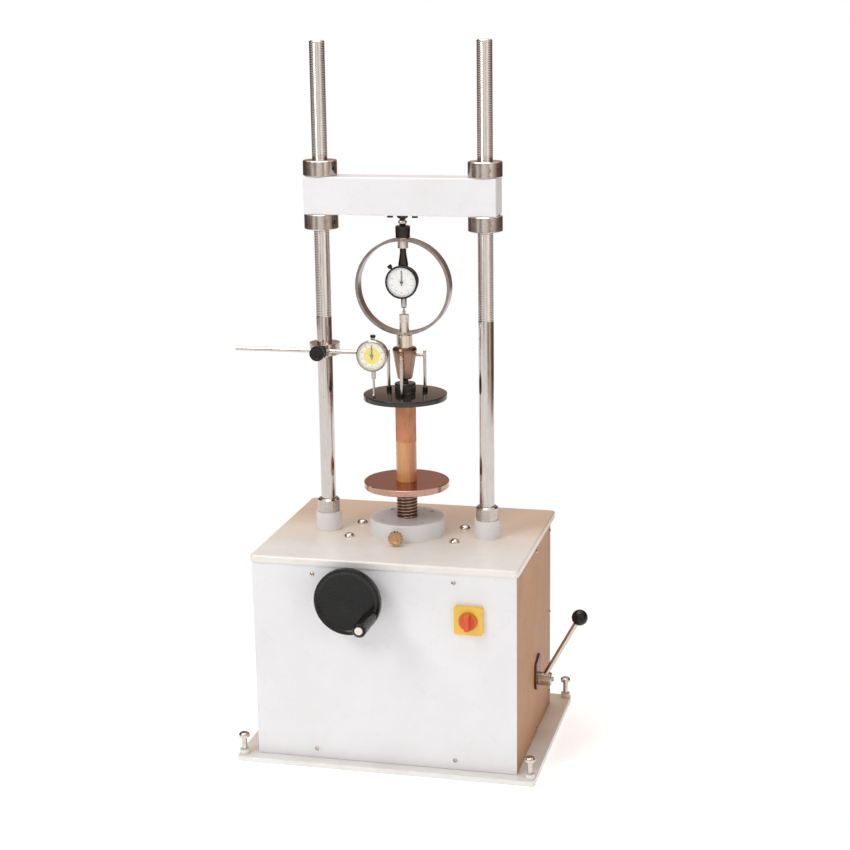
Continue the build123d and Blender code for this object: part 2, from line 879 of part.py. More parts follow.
# Dial gauge inside the proving ring
ring_dial_plane = facing_front(0, ring_dial_height)
ring_plunger_hole = dial_plunger_radius + running_clearance
ring_plunger_top = ring_dial_height + ring_plunger_reach
with BuildPart() as ring_dial_case:
    dial_case(
        ring_dial_plane,
        ring_dial_radius,
        ring_dial_bezel_radius,
        -ring_dial_back,
        ring_dial_front,
        ring_dial_bezel_depth,
    )
    lug_top = ring_centre_height + ring_radius - ring_thickness - ring_upper_boss_length
    tube(upright(0, 0), 0, ring_dial_lug_radius, ring_dial_height + ring_dial_radius - dial_stem_root, lug_top)
    stem_root = ring_dial_height - ring_dial_radius + dial_stem_root
    tube(upright(0, 0), 0, ring_dial_stem_radius, ring_dial_stem_bottom, stem_root)
    drill(upright(0, 0), ring_plunger_hole, ring_dial_stem_bottom - 1, ring_plunger_top + ring_dial_travel + 1)
keep(ring_dial_case, "ring_dial_case")

with BuildPart() as ring_dial_hand:
    dial_hand(ring_dial_plane, ring_dial_front, ring_hand_length, ring_hand_tail)
keep(ring_dial_hand, "ring_dial_hand")

with BuildPart() as ring_dial_plunger:
    dial_plunger(upright(0, 0), ring_anvil_top, ring_plunger_top)
keep(ring_dial_plunger, "ring_dial_plunger")

# Loading cone with its spindle, and the T-headed screw that locks it
with BuildPart() as loading_cone:
    turned(
        upright(0, 0),
        [
            (0, cone_bottom),
            (cone_bottom_radius - cone_foot_round, cone_bottom),
            (cone_bottom_radius, cone_bottom + cone_foot_round),
            (cone_top_radius, cone_top - cone_shoulder),
            (cone_top_radius - cone_shoulder_round, cone_top - cone_shoulder_round_drop),
            (cone_top_radius - cone_shoulder, cone_top),
            (spindle_radius, cone_top),
            (spindle_radius, spindle_top),
            (0, spindle_top),
        ],
    )
    screw_hole_end = cone_screw_end_radius - blind_hole_room
    cone_hole_radius = cone_screw_radius + running_clearance
    drill(facing_right(0, cone_screw_height), cone_hole_radius, screw_hole_end, cone_screw_end)
keep(loading_cone, "loading_cone")

with BuildPart() as cone_lock_screw:
    bar_centre = cone_screw_end - cone_screw_bar_radius
    tube(facing_right(0, cone_screw_height), 0, cone_screw_radius, cone_screw_end_radius, bar_centre)
    tube(
        upright(bar_centre, 0),
        0,
        cone_screw_bar_radius,
        cone_screw_height - cone_screw_bar_half_length,
        cone_screw_height + cone_screw_bar_half_length,
    )
keep(cone_lock_screw, "cone_lock_screw")

# Ram screw with a keyway down its back, and the platen seated on it
with BuildPart() as ram_screw:
    tube(upright(0, 0), 0, ram_radius, ram_bottom, platen_bottom)
    tube(upright(0, 0), 0, platen_spigot_radius, platen_bottom, platen_bottom + platen_spigot_length)
    block(
        (-ram_key_half_width - sliding_clearance, ram_radius - ram_key_depth, ram_bottom - 1),
        (ram_key_half_width + sliding_clearance, ram_radius + 1, platen_bottom - keyway_land),
        Mode.SUBTRACT,
    )
keep(ram_screw, "ram_screw")

with BuildPart() as lower_platen:
    edge = platen_radius - platen_chamfer
    turned(
        upright(0, 0),
        [
            (0, platen_bottom),
            (edge, platen_bottom),
            (platen_radius, platen_bottom + platen_chamfer),
            (platen_radius, platen_top - platen_chamfer),
            (edge, platen_top),
            (0, platen_top),
        ],
    )
    spigot_hole_top = platen_bottom + platen_spigot_length + seat_gap
    drill(upright(0, 0), platen_spigot_radius + running_clearance, 0, spigot_hole_top)
keep(lower_platen, "lower_platen")

# Test specimen on its spacer
with BuildPart() as specimen_base:
    tube(upright(0, 0), 0, specimen_radius, platen_top, specimen_joint)
keep(specimen_base, "specimen_base")

with BuildPart() as specimen:
    tube(upright(0, 0), 0, specimen_radius, specimen_joint, disc_bottom)
keep(specimen, "specimen")

# Upper loading disc with a hub and a domed nose, and three posts
with BuildPart() as loading_disc:
    nose_top = cone_bottom - seat_gap
    turned(
        upright(0, 0),
        [
            (0, disc_bottom),
            (disc_radius - disc_edge_chamfer, disc_bottom),
            (disc_radius, disc_bottom + disc_edge_chamfer),
            (disc_radius, disc_top - disc_edge_chamfer),
            (disc_radius - disc_edge_chamfer, disc_top),
            (disc_hub_radius, disc_top),
            (disc_hub_radius, hub_top - disc_hub_chamfer),
            (disc_hub_radius - disc_hub_chamfer, hub_top),
            (disc_nose_radius, hub_top),
            (disc_nose_radius, nose_top - disc_nose_dome),
            (disc_nose_flat_radius, nose_top),
            (0, nose_top),
        ],
    )
keep(loading_disc, "loading_disc")

with BuildPart() as disc_posts:
    for step in range(post_count):
        angle = radians(post_first_angle + step * 360 / post_count)
        centre = (post_circle_radius * cos(angle), post_circle_radius * sin(angle))
        with BuildSketch(Plane.XY.offset(disc_top)):
            with Locations(centre):
                RegularPolygon(post_foot_radius, 6)
        extrude(amount=post_foot_height)
        tube(upright(*centre), 0, post_radius, disc_top + post_foot_height, post_top)
keep(disc_posts, "disc_posts")

# Ram flange with its key, its counterbored screws, an oil hole and a lock knob
with BuildPart() as ram_flange:
    bore = ram_radius + running_clearance
    turned(
        upright(0, 0),
        [
            (bore, top_underside),
            (flange_spigot_radius, top_underside),
            (flange_spigot_radius, top_height),
            (flange_radius, top_height),
            (flange_radius, flange_top - flange_chamfer),
            (flange_radius - flange_chamfer, flange_top),
            (bore, flange_top),
        ],
    )
    key_front = ram_radius - ram_key_depth + sliding_clearance
    block(
        (-ram_key_half_width, key_front, top_underside),
        (ram_key_half_width, ram_radius + ram_key_root, flange_top - flange_chamfer),
    )
    for step in range(flange_screw_count):
        angle = radians(flange_screw_first_angle + step * 360 / flange_screw_count)
        plane = upright(flange_screw_circle_radius * cos(angle), flange_screw_circle_radius * sin(angle))
        drill(plane, flange_screw_radius + running_clearance, 0, flange_top + 1)
        sink_radius = flange_screw_head_radius + sliding_clearance
        drill(plane, sink_radius, flange_top - flange_screw_sink, flange_top + 1)
    drill(upright(0, -oil_hole_distance), oil_hole_radius, flange_top - oil_hole_depth, flange_top + 1)
    lock_plane = facing_front(0, lock_knob_height)
    drill(lock_plane, lock_knob_shank_radius + running_clearance, lock_knob_shank_end - 1, lock_knob_face)
keep(ram_flange, "ram_flange")

with BuildPart() as flange_screws:
    for step in range(flange_screw_count):
        angle = radians(flange_screw_first_angle + step * 360 / flange_screw_count)
        plane = upright(flange_screw_circle_radius * cos(angle), flange_screw_circle_radius * sin(angle))
        seat = flange_top - flange_screw_sink
        tube(plane, 0, flange_screw_radius, seat - flange_screw_length, seat)
        tube(plane, 0, flange_screw_head_radius, seat, seat + flange_screw_head_height)
keep(flange_screws, "flange_screws")

with BuildPart() as flange_lock_knob:
    tube(lock_plane, 0, lock_knob_shank_radius, lock_knob_shank_end, lock_knob_near)
    tube(lock_plane, 0, lock_knob_radius, lock_knob_near, lock_knob_face)
    chamfer(flange_lock_knob.edges().group_by(Axis.Y)[0], lock_knob_chamfer)
keep(flange_lock_knob, "flange_lock_knob")

# Gearbox housing under the top plate: wheel room, worm tunnel, bearing walls and bolt flange
bush_outer = worm_shaft_radius + bush_wall
housing_bottom = wheel_bottom - bush_flange_thickness - housing_wall
room_right = wheel_room_radius + housing_wall
room_left = drive_x - worm_room_radius - housing_wall
lower_bush_radius = wheel_boss_radius + bush_wall
with BuildPart() as gearbox_housing:
    block((room_left, housing_front, housing_bottom), (room_right, housing_back, top_underside))
    block(
        (-housing_half_width, housing_front, top_underside - housing_flange_thickness),
        (housing_half_width, housing_back, top_underside),
    )
    drill(upright(0, 0), wheel_room_radius, housing_bottom + housing_wall, top_underside + 1)
    tunnel_end = housing_back - 2 * housing_wall
    drill(facing_front(drive_x, drive_height), worm_room_radius, -tunnel_end, tunnel_end)
    bush_hole = bush_outer + running_clearance
    drill(facing_front(drive_x, drive_height), bush_hole, -housing_back - 1, 1 - housing_front)
    drill(upright(0, 0), ram_radius + ram_room_gap, housing_bottom - 1, top_underside)
    for x, y in gearbox_bolt_places:
        drill(upright(x, y), gearbox_bolt_radius + running_clearance, housing_bottom, top_underside + 1)
keep(gearbox_housing, "gearbox_housing")

# Domed bolts that hold the gearbox up under the top plate
with BuildPart() as gearbox_bolts:
    for x, y in gearbox_bolt_places:
        bolt_end = top_underside - housing_flange_thickness - gearbox_bolt_end
        outline = [(0, bolt_end), (gearbox_bolt_radius, bolt_end), (gearbox_bolt_radius, top_height)]
        outline += [(radius, top_height + rise) for radius, rise in gearbox_bolt_dome_steps]
        turned(upright(x, y), outline)
keep(gearbox_bolts, "gearbox_bolts")

# Bronze bushes: a flanged pair for the worm shaft, and two thrust rings for the worm wheel
with BuildPart() as gearbox_bushes:
    bore = worm_shaft_radius + running_clearance
    for plane in (facing_front(drive_x, drive_height), facing_back(drive_x, drive_height)):
        turned(
            plane,
            [
                (bore, tunnel_end - 1),
                (bush_outer, tunnel_end - 1),
                (bush_outer, housing_back),
                (bush_outer + bush_flange_growth, housing_back),
                (bush_outer + bush_flange_growth, housing_back + bush_flange_thickness),
                (bore, housing_back + bush_flange_thickness),
            ],
        )
    thrust_bore = ram_radius + ram_room_gap
    tube(upright(0, 0), thrust_bore, lower_bush_radius, wheel_bottom - bush_flange_thickness, wheel_bottom)
    tube(upright(0, 0), thrust_bore, lower_bush_radius, wheel_top, top_underside)
keep(gearbox_bushes, "gearbox_bushes")

# Worm wheel: bronze, threaded on the ram, with slots that lean by the worm's lead angle
lead_angle = worm_lead / (2 * pi * worm_pitch_radius)
wheel_root_radius = wheel_pitch_radius - tooth_dedendum * module
slot_mouth_radius = wheel_pitch_radius + 2 * tooth_addendum * module
slot_half_pitch = pi * module / 4 + tooth_slot_allowance / 2
flank_slope = tan(radians(pressure_angle))
with BuildPart(mode=Mode.PRIVATE) as tooth_slot:
    lean = (0, -sin(lead_angle), cos(lead_angle))
    cut_length = wheel_face_width * 2
    slot_plane = Plane(origin=(0, 0, drive_height), x_dir=(1, 0, 0), z_dir=lean).offset(-cut_length / 2)
    root = slot_half_pitch - flank_slope * (wheel_pitch_radius - wheel_root_radius)
    mouth = slot_half_pitch + flank_slope * (slot_mouth_radius - wheel_pitch_radius)
    with BuildSketch(slot_plane):
        with BuildLine():
            Polyline(
                (-wheel_root_radius, -root),
                (-wheel_root_radius, root),
                (-slot_mouth_radius, mouth),
                (-slot_mouth_radius, -mouth),
                close=True,
            )
        make_face()
    extrude(amount=cut_length)
with BuildPart() as worm_wheel:
    tube(upright(0, 0), 0, wheel_tip_radius, drive_height - wheel_half, drive_height + wheel_half)
    tube(upright(0, 0), 0, wheel_boss_radius, wheel_bottom, wheel_top)
    for step in range(wheel_teeth):
        add(tooth_slot.part.rotate(Axis.Z, step * 360 / wheel_teeth), mode=Mode.SUBTRACT)
    drill(upright(0, 0), ram_radius + running_clearance, wheel_bottom - 1, wheel_top + 1)
keep(worm_wheel, "worm_wheel")

# Worm shaft: a right-handed single thread on a plain shaft, from the handwheel to the belt pulley
thread_half_pitch = pi * module / 4 - worm_thread_allowance / 2
thread_length = worm_thread_turns * worm_lead
shaft_front_end = handwheel_rim_front - handwheel_dish - handwheel_skin
shaft_back_end = belt_back + pulley_flange_width + shaft_overhang
# The thread starts on top of the shaft, a quarter turn before it faces the wheel
thread_start = -thread_length / 2 - worm_lead / 4
with BuildPart() as worm_shaft:
    tube(facing_back(drive_x, drive_height), 0, worm_shaft_radius, -shaft_front_end, shaft_back_end)
    with BuildLine():
        thread_path = Helix(
            pitch=worm_lead,
            height=thread_length,
            radius=worm_pitch_radius,
            center=(drive_x, thread_start, drive_height),
            direction=(0, 1, 0),
        )
    start = thread_path @ 0
    outward = Vector(start.X - drive_x, 0, start.Z - drive_height)
    with BuildSketch(Plane(origin=start, x_dir=outward, z_dir=thread_path % 0)):
        with BuildLine():
            deep = worm_pitch_radius - worm_shaft_radius + worm_thread_root
            high = worm_addendum * module
            Polyline(
                (-deep, -thread_half_pitch - flank_slope * deep),
                (high, -thread_half_pitch + flank_slope * high),
                (high, thread_half_pitch - flank_slope * high),
                (-deep, thread_half_pitch + flank_slope * deep),
                close=True,
            )
        make_face()
    sweep(path=thread_path, is_frenet=True)
keep(worm_shaft, "worm_shaft")

# Handwheel: a dished disc with a hub behind it and a fixed crank pin
wheel_plane = facing_front(drive_x, drive_height)
crank_plane = facing_front(crank_x, crank_z)
crank_seat = handwheel_rim_front + crank_collar_length
handle_front = crank_seat + crank_handle_length
with BuildPart() as handwheel:
    dish_front = handwheel_rim_front - handwheel_dish
    rim_inner = handwheel_radius - handwheel_rim_width
    turned(
        wheel_plane,
        [
            (0, handwheel_hub_back),
            (handwheel_hub_radius, handwheel_hub_back),
            (handwheel_hub_radius, handwheel_rim_back),
            (rim_inner, dish_front - handwheel_skin),
            (rim_inner, handwheel_rim_back),
            (handwheel_radius - handwheel_rim_round, handwheel_rim_back),
            (handwheel_radius, handwheel_rim_back + handwheel_rim_round),
            (handwheel_radius, handwheel_rim_front - handwheel_rim_round),
            (handwheel_radius - handwheel_rim_round, handwheel_rim_front),
            (rim_inner, handwheel_rim_front),
            (rim_inner - handwheel_rim_width, dish_front),
            (0, dish_front),
        ],
    )
    tube(crank_plane, 0, crank_collar_radius, handwheel_rim_back, crank_seat)
    tube(crank_plane, 0, crank_pin_radius, crank_seat, handle_front - crank_end_thickness)
    tube(crank_plane, 0, crank_end_radius, handle_front - crank_end_thickness, handle_front)
    drill(wheel_plane, worm_shaft_radius + running_clearance, handwheel_hub_back - 1, shaft_front_end)
keep(handwheel, "handwheel")

# Revolving crank handle, trapped between the collar and the pin's end disc
with BuildPart() as crank_handle:
    handle_back = crank_seat + running_clearance
    recess = crank_end_thickness + running_clearance
    turned(
        crank_plane,
        [
            (crank_pin_radius + running_clearance, handle_back),
            (crank_handle_radius - crank_handle_neck, handle_back),
            (crank_handle_radius, handle_back + crank_handle_taper_length),
            (crank_handle_radius, handle_front - crank_handle_round),
            (crank_handle_radius - crank_handle_round, handle_front),
            (crank_end_radius + sliding_clearance, handle_front),
            (crank_end_radius + sliding_clearance, handle_front - recess),
            (crank_pin_radius + running_clearance, handle_front - recess),
        ],
    )
keep(crank_handle, "crank_handle")

# Motor: body with end bells and a foot, hollow for its rotor
motor_plane = facing_back(motor_x, motor_height)
motor_mid_front = motor_front + motor_bell
motor_mid_back = motor_back - motor_bell
with BuildPart() as motor_body:
    tube(motor_plane, 0, motor_radius, motor_mid_front, motor_mid_back)
    tube(motor_plane, 0, motor_radius - motor_bell_step, motor_front, motor_back)
    foot_top = base_thickness + motor_foot_thickness
    pedestal_top = motor_height - motor_rotor_radius - motor_seat_overlap
    block(
        (motor_x - motor_foot_half_width, motor_mid_front + motor_foot_inset, base_thickness),
        (motor_x + motor_foot_half_width, motor_mid_back - motor_foot_inset, foot_top),
    )
    block(
        (motor_x - motor_foot_half_width / 2, motor_mid_front + motor_foot_inset, foot_top - 1),
        (motor_x + motor_foot_half_width / 2, motor_mid_back - motor_foot_inset, pedestal_top),
    )
    drill(motor_plane, motor_rotor_radius + motor_air_gap, motor_mid_front, motor_mid_back)
    drill(motor_plane, motor_shaft_radius + running_clearance, motor_front - 1, motor_back + 1)
keep(motor_body, "motor_body")

with BuildPart() as motor_rotor:
    tube(motor_plane, 0, motor_shaft_radius, motor_front + motor_rotor_end_gap, shaft_back_end)
    rotor_front = motor_mid_front + motor_rotor_end_gap
    tube(motor_plane, 0, motor_rotor_radius, rotor_front, motor_mid_back - motor_rotor_end_gap)
keep(motor_rotor, "motor_rotor")

# Clutch sleeve that slides on the motor shaft, with a fork groove and a friction cone
groove_front = lever_y - sleeve_groove_half_width
groove_back = lever_y + sleeve_groove_half_width
with BuildPart() as clutch_sleeve:
    turned(
        motor_plane,
        [
            (motor_shaft_radius + running_clearance, sleeve_front),
            (clutch_flange_radius - clutch_flange_bevel, sleeve_front),
            (clutch_flange_radius, groove_front - sleeve_groove_wall),
            (clutch_flange_radius, groove_front),
            (sleeve_groove_radius, groove_front),
            (sleeve_groove_radius, groove_back),
            (clutch_cone_big_radius, groove_back),
            (clutch_cone_big_radius, clutch_cone_start),
            (clutch_cone_small_radius, clutch_cone_end),
            (motor_shaft_radius + running_clearance, clutch_cone_end),
        ],
    )
keep(clutch_sleeve, "clutch_sleeve")

# Pulley that runs free on the motor shaft, with the cup for the friction cone
cup_mouth = clutch_cone_start + clutch_release
cup_floor = clutch_cone_end + clutch_release
cup_outer = clutch_cone_big_radius + clutch_cup_wall
with BuildPart() as clutch_pulley:
    flange_front = belt_front - pulley_flange_width
    flange_back = belt_back + pulley_flange_width
    flange_edge = motor_pulley_radius + pulley_flange_growth
    turned(
        motor_plane,
        [
            (motor_shaft_radius + running_clearance, cup_floor),
            (clutch_cone_small_radius + seat_gap, cup_floor),
            (clutch_cone_big_radius + seat_gap, cup_mouth),
            (cup_outer, cup_mouth),
            (cup_outer, clutch_cup_back),
            (flange_edge, flange_front),
            (flange_edge, belt_front),
            (motor_pulley_radius, belt_front),
            (motor_pulley_radius, belt_back),
            (flange_edge, belt_back),
            (flange_edge, flange_back),
            (motor_shaft_radius + running_clearance, flange_back),
        ],
    )
keep(clutch_pulley, "clutch_pulley")

# Pulley fixed on the back end of the worm shaft, and the flat belt round both
with BuildPart() as worm_pulley:
    flange_edge = worm_pulley_radius + pulley_flange_growth
    turned(
        facing_back(drive_x, drive_height),
        [
            (worm_shaft_radius + running_clearance, flange_front),
            (flange_edge, flange_front),
            (flange_edge, belt_front),
            (worm_pulley_radius, belt_front),
            (worm_pulley_radius, belt_back),
            (flange_edge, belt_back),
            (flange_edge, flange_back),
            (worm_shaft_radius + running_clearance, flange_back),
        ],
    )
keep(worm_pulley, "worm_pulley")


def belt_outline(growth):
    """The outline of a belt round both pulleys, grown outwards, in X and Z seen from the back."""
    belt_plane = facing_back(0, 0)
    ends = (
        (-drive_x, drive_height, worm_pulley_radius + growth),
        (-motor_x, motor_height, motor_pulley_radius + growth),
    )
    with BuildSketch(belt_plane.offset(belt_front + belt_edge_gap)) as outline:
        for x, z, radius in ends:
            with Locations((x, z)):
                Circle(radius)
        make_hull()
    return outline.sketch


with BuildPart() as drive_belt:
    belt_width = belt_back - belt_front - 2 * belt_edge_gap
    extrude(belt_outline(belt_gap + belt_thickness), amount=belt_width)
    extrude(belt_outline(belt_gap), amount=belt_width, mode=Mode.SUBTRACT)
keep(drive_belt, "drive_belt")

# Index plate on the right panel, behind the lever hub
with BuildPart() as index_plate:
    with BuildSketch(facing_right(lever_y, lever_height).offset(cabinet_half_width)):
        Circle(index_plate_radius)
        with Locations((index_plate_top_y - lever_y, index_plate_top - lever_height)):
            Circle(index_plate_top_radius)
        with Locations((-index_plate_radius / 2, index_plate_top - lever_height - index_plate_top_radius)):
            Circle(index_plate_top_radius)
        make_hull()
    extrude(amount=index_plate_thickness)
    drill(facing_right(lever_y, lever_height), lever_shaft_radius + running_clearance, 0, index_face + 1)
keep(index_plate, "index_plate")

# Lever: shaft, hub and leaning arm in one, with a ball on its end
lever_plane = facing_right(lever_y, lever_height)
arm_direction = (sin(radians(lever_arm_tilt)), 0, cos(radians(lever_arm_tilt)))
arm_plane = Plane(origin=(lever_arm_root, lever_y, lever_height), x_dir=(0, 1, 0), z_dir=arm_direction)
with BuildPart() as lever_shaft:
    hub_edge = lever_hub_radius - lever_hub_chamfer
    turned(
        lever_plane,
        [
            (0, lever_shaft_inner_end),
            (lever_shaft_radius, lever_shaft_inner_end),
            (lever_shaft_radius, index_face + seat_gap),
            (lever_hub_radius, index_face + seat_gap),
            (lever_hub_radius, lever_hub_end - lever_hub_chamfer),
            (hub_edge, lever_hub_end),
            (lever_cap_radius, lever_hub_end),
            (lever_cap_radius, lever_hub_end + lever_cap_length),
            (0, lever_hub_end + lever_cap_length),
        ],
    )
    tube(arm_plane, 0, lever_arm_radius, 0, lever_arm_length - lever_ball_radius + lever_ball_socket)
keep(lever_shaft, "lever_shaft")

with BuildPart() as lever_ball:
    with Locations(arm_plane.offset(lever_arm_length).location):
        Sphere(lever_ball_radius)
    drill(
        arm_plane,
        lever_arm_radius + running_clearance,
        lever_arm_length - 2 * lever_ball_radius,
        lever_arm_length - lever_ball_radius + lever_ball_socket,
    )
keep(lever_ball, "lever_ball")

# Shift fork pinned on the lever shaft, with two pins in the sleeve's groove
prong_inner = clutch_flange_radius + fork_prong_gap
prong_outer = prong_inner + fork_prong_width
with BuildPart() as shift_fork:
    fork_front = lever_y - fork_half_thickness
    fork_back = lever_y + fork_half_thickness
    tube(lever_plane, 0, fork_hub_radius, motor_x - fork_hub_half_length, motor_x + fork_hub_half_length)
    bridge_bottom = motor_height + prong_inner
    block((motor_x - prong_outer, fork_front, bridge_bottom), (motor_x + prong_outer, fork_back, lever_height))
    for side in (-1, 1):
        near, far = sorted((motor_x + side * prong_inner, motor_x + side * prong_outer))
        block((near, fork_front, motor_height - fork_pin_radius), (far, fork_back, bridge_bottom + 1))
        pin_near = motor_x + side * (sleeve_groove_radius + fork_pin_clearance)
        low, high = sorted((pin_near, motor_x + side * (prong_inner + 1)))
        tube(facing_right(lever_y, motor_height), 0, fork_pin_radius, low, high)
    drill(lever_plane, lever_shaft_radius + running_clearance, 0, cabinet_half_width)
keep(shift_fork, "shift_fork")

# Rotary isolator: plate in front of the panel, neck through it and switch body behind
isolator_plane = facing_front(isolator_x, isolator_height)
isolator_face = isolator_plate_thickness - cabinet_front
with BuildPart() as isolator_switch:
    with BuildSketch(isolator_plane.offset(-cabinet_front)):
        RectangleRounded(isolator_plate_size, isolator_plate_size, isolator_corner_radius)
    extrude(amount=isolator_plate_thickness)
    tube(isolator_plane, 0, isolator_neck_radius, -frame_front - 1, 1 - cabinet_front)
    with BuildSketch(isolator_plane.offset(-frame_front - isolator_body_depth)):
        Rectangle(isolator_body_size, isolator_body_size)
    extrude(amount=isolator_body_depth)
    stem_hole = isolator_stem_radius + running_clearance
    drill(isolator_plane, stem_hole, isolator_face - isolator_stem_depth - blind_hole_room, isolator_face + 1)
keep(isolator_switch, "isolator_switch")

with BuildPart() as isolator_knob:
    knob_back = isolator_face + seat_gap
    tube(isolator_plane, 0, isolator_stem_radius, isolator_face - isolator_stem_depth, knob_back)
    tube(isolator_plane, 0, isolator_knob_radius, knob_back, knob_back + isolator_knob_base)
    with BuildSketch(isolator_plane.offset(knob_back)):
        Circle(isolator_knob_radius - isolator_grip_inset)
        Rectangle(2 * isolator_grip_half_width, 3 * isolator_knob_radius, mode=Mode.INTERSECT)
    extrude(amount=isolator_knob_height)
keep(isolator_knob, "isolator_knob")

# Power inlet on the rear panel: an open socket with three pins
with BuildPart() as power_inlet:
    inlet_low = (inlet_x - inlet_half_width, cabinet_back - inlet_depth, inlet_height - inlet_half_height)
    inlet_high = (inlet_x + inlet_half_width, cabinet_back + 1, inlet_height + inlet_half_height)
    block(inlet_low, inlet_high)
    flange_low = (inlet_low[0] - inlet_flange_growth, cabinet_back, inlet_low[2] - inlet_flange_growth)
    flange_high = (
        inlet_high[0] + inlet_flange_growth,
        cabinet_back + inlet_flange_thickness,
        inlet_high[2] + inlet_flange_growth,
    )
    block(flange_low, flange_high)
    socket_floor = flange_high[1] - inlet_socket_depth
    block(
        (inlet_low[0] + inlet_wall, socket_floor, inlet_low[2] + inlet_wall),
        (inlet_high[0] - inlet_wall, flange_high[1] + 1, inlet_high[2] - inlet_wall),
        Mode.SUBTRACT,
    )
    for step in (-1, 0, 1):
        plane = facing_back(inlet_x + step * inlet_pin_spacing, inlet_height)
        tube(plane, 0, inlet_pin_radius, socket_floor - 1, flange_high[1] - inlet_pin_setback)
keep(power_inlet, "power_inlet")

# Column clamp for the displacement gauge, with the rod hole in its front block
with BuildPart() as gauge_clamp:
    clamp_top = clamp_bottom + clamp_height
    tube(upright(-column_x, 0), 0, clamp_radius, clamp_bottom, clamp_top)
    block(
        (-column_x - clamp_block_half_width, clamp_block_front, clamp_bottom),
        (-column_x + clamp_block_half_width, 0, clamp_top),
    )
    drill(upright(-column_x, 0), column_radius + running_clearance, clamp_bottom - 1, clamp_top + 1)
    drill(facing_right(rod_y, rod_height), rod_radius + running_clearance, -2 * column_x, 0)
    knob_plane = facing_front(-column_x, rod_height)
    drill(knob_plane, clamp_knob_shank_radius + running_clearance, -rod_y, 1 - clamp_block_front)
keep(gauge_clamp, "gauge_clamp")

with BuildPart() as clamp_knob:
    knob_near = clamp_knob_standoff - clamp_block_front
    knob_far = knob_near + clamp_knob_thickness
    tube(knob_plane, 0, clamp_knob_shank_radius, rod_radius - rod_y + seat_gap, knob_near)
    tube(knob_plane, 0, clamp_knob_radius, knob_near, knob_far)
    fillet(clamp_knob.edges().group_by(Axis.Y)[0], clamp_knob_rounding)
keep(clamp_knob, "clamp_knob")

with BuildPart() as gauge_rod:
    tube(facing_right(rod_y, rod_height), 0, rod_radius, rod_left, rod_right)
keep(gauge_rod, "gauge_rod")

# Displacement gauge: case with back lug, stem, hand and long plunger
gauge_plane = facing_front(gauge_x, gauge_height)
gauge_hole = dial_plunger_radius + running_clearance
gauge_plunger_top = gauge_cap_top - gauge_cap_wall - gauge_plunger_top_gap - gauge_travel
with BuildPart() as gauge_case:
    dial_case(gauge_plane, gauge_radius, gauge_bezel_radius, -gauge_back, -gauge_front, gauge_bezel_depth)
    plunger_axis = upright(gauge_x, gauge_plunger_y)
    stem_bottom = gauge_height - gauge_radius - gauge_stem_length
    tube(plunger_axis, 0, gauge_stem_radius, stem_bottom, gauge_height - gauge_radius + gauge_stem_root)
    tube(plunger_axis, 0, gauge_stem_radius, gauge_height + gauge_radius - gauge_stem_root, gauge_cap_top)
    block(
        (gauge_x - gauge_lug_half_width, gauge_back - 1, rod_height - gauge_lug_height),
        (gauge_x + gauge_lug_half_width, rod_y + rod_radius + gauge_lug_wall, rod_height + gauge_lug_height),
    )
    rod_hole_start = gauge_x - gauge_lug_half_width - 1
    drill(facing_right(rod_y, rod_height), rod_radius + running_clearance, rod_hole_start, rod_right + seat_gap)
    drill(plunger_axis, gauge_hole, stem_bottom - 1, gauge_cap_top - gauge_cap_wall)
keep(gauge_case, "gauge_case")

with BuildPart() as gauge_hand:
    dial_hand(gauge_plane, -gauge_front, gauge_hand_length, gauge_hand_tail)
keep(gauge_hand, "gauge_hand")

with BuildPart() as gauge_plunger:
    dial_plunger(plunger_axis, disc_top + seat_gap, gauge_plunger_top)
keep(gauge_plunger, "gauge_plunger")
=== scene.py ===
# Unconfined compression tester: finishes, fine pieces, light and camera round the CAD frame.
# The frame is in metres: the origin is under the ram on the floor, +X right, +Y back, +Z up.
# Sizes in the dictionaries are millimetres, as on a drawing, and are scaled where they are used.
from math import cos, pi, radians, sin

import bmesh
import bpy
import numpy as np
from mathutils import Matrix, Vector


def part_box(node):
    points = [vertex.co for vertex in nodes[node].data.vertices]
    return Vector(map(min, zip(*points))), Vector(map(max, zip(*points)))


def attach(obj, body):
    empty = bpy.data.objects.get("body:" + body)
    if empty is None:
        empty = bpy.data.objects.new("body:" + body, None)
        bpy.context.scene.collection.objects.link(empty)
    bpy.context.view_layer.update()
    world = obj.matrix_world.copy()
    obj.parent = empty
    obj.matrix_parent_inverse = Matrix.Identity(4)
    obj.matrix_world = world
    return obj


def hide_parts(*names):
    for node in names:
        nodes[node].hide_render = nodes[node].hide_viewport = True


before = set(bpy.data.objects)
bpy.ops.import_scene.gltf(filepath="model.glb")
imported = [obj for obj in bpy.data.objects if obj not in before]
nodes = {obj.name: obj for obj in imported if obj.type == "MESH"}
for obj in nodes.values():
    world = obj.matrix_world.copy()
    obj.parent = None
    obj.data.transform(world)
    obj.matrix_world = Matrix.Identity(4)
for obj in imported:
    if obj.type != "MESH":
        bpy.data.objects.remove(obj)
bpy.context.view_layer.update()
mm = 0.001
print("frame loaded:", len(nodes), "nodes")


def linear(hexColour):
    # sRGB hex to the linear red, green, blue that shaders take
    parts = np.array([int(hexColour[i:i + 2], 16) for i in (1, 3, 5)]) / 255
    bright = ((parts + 0.055) / 1.055) ** 2.4
    return (*(float(v) for v in np.where(parts <= 0.04045, parts / 12.92, bright)), 1.0)


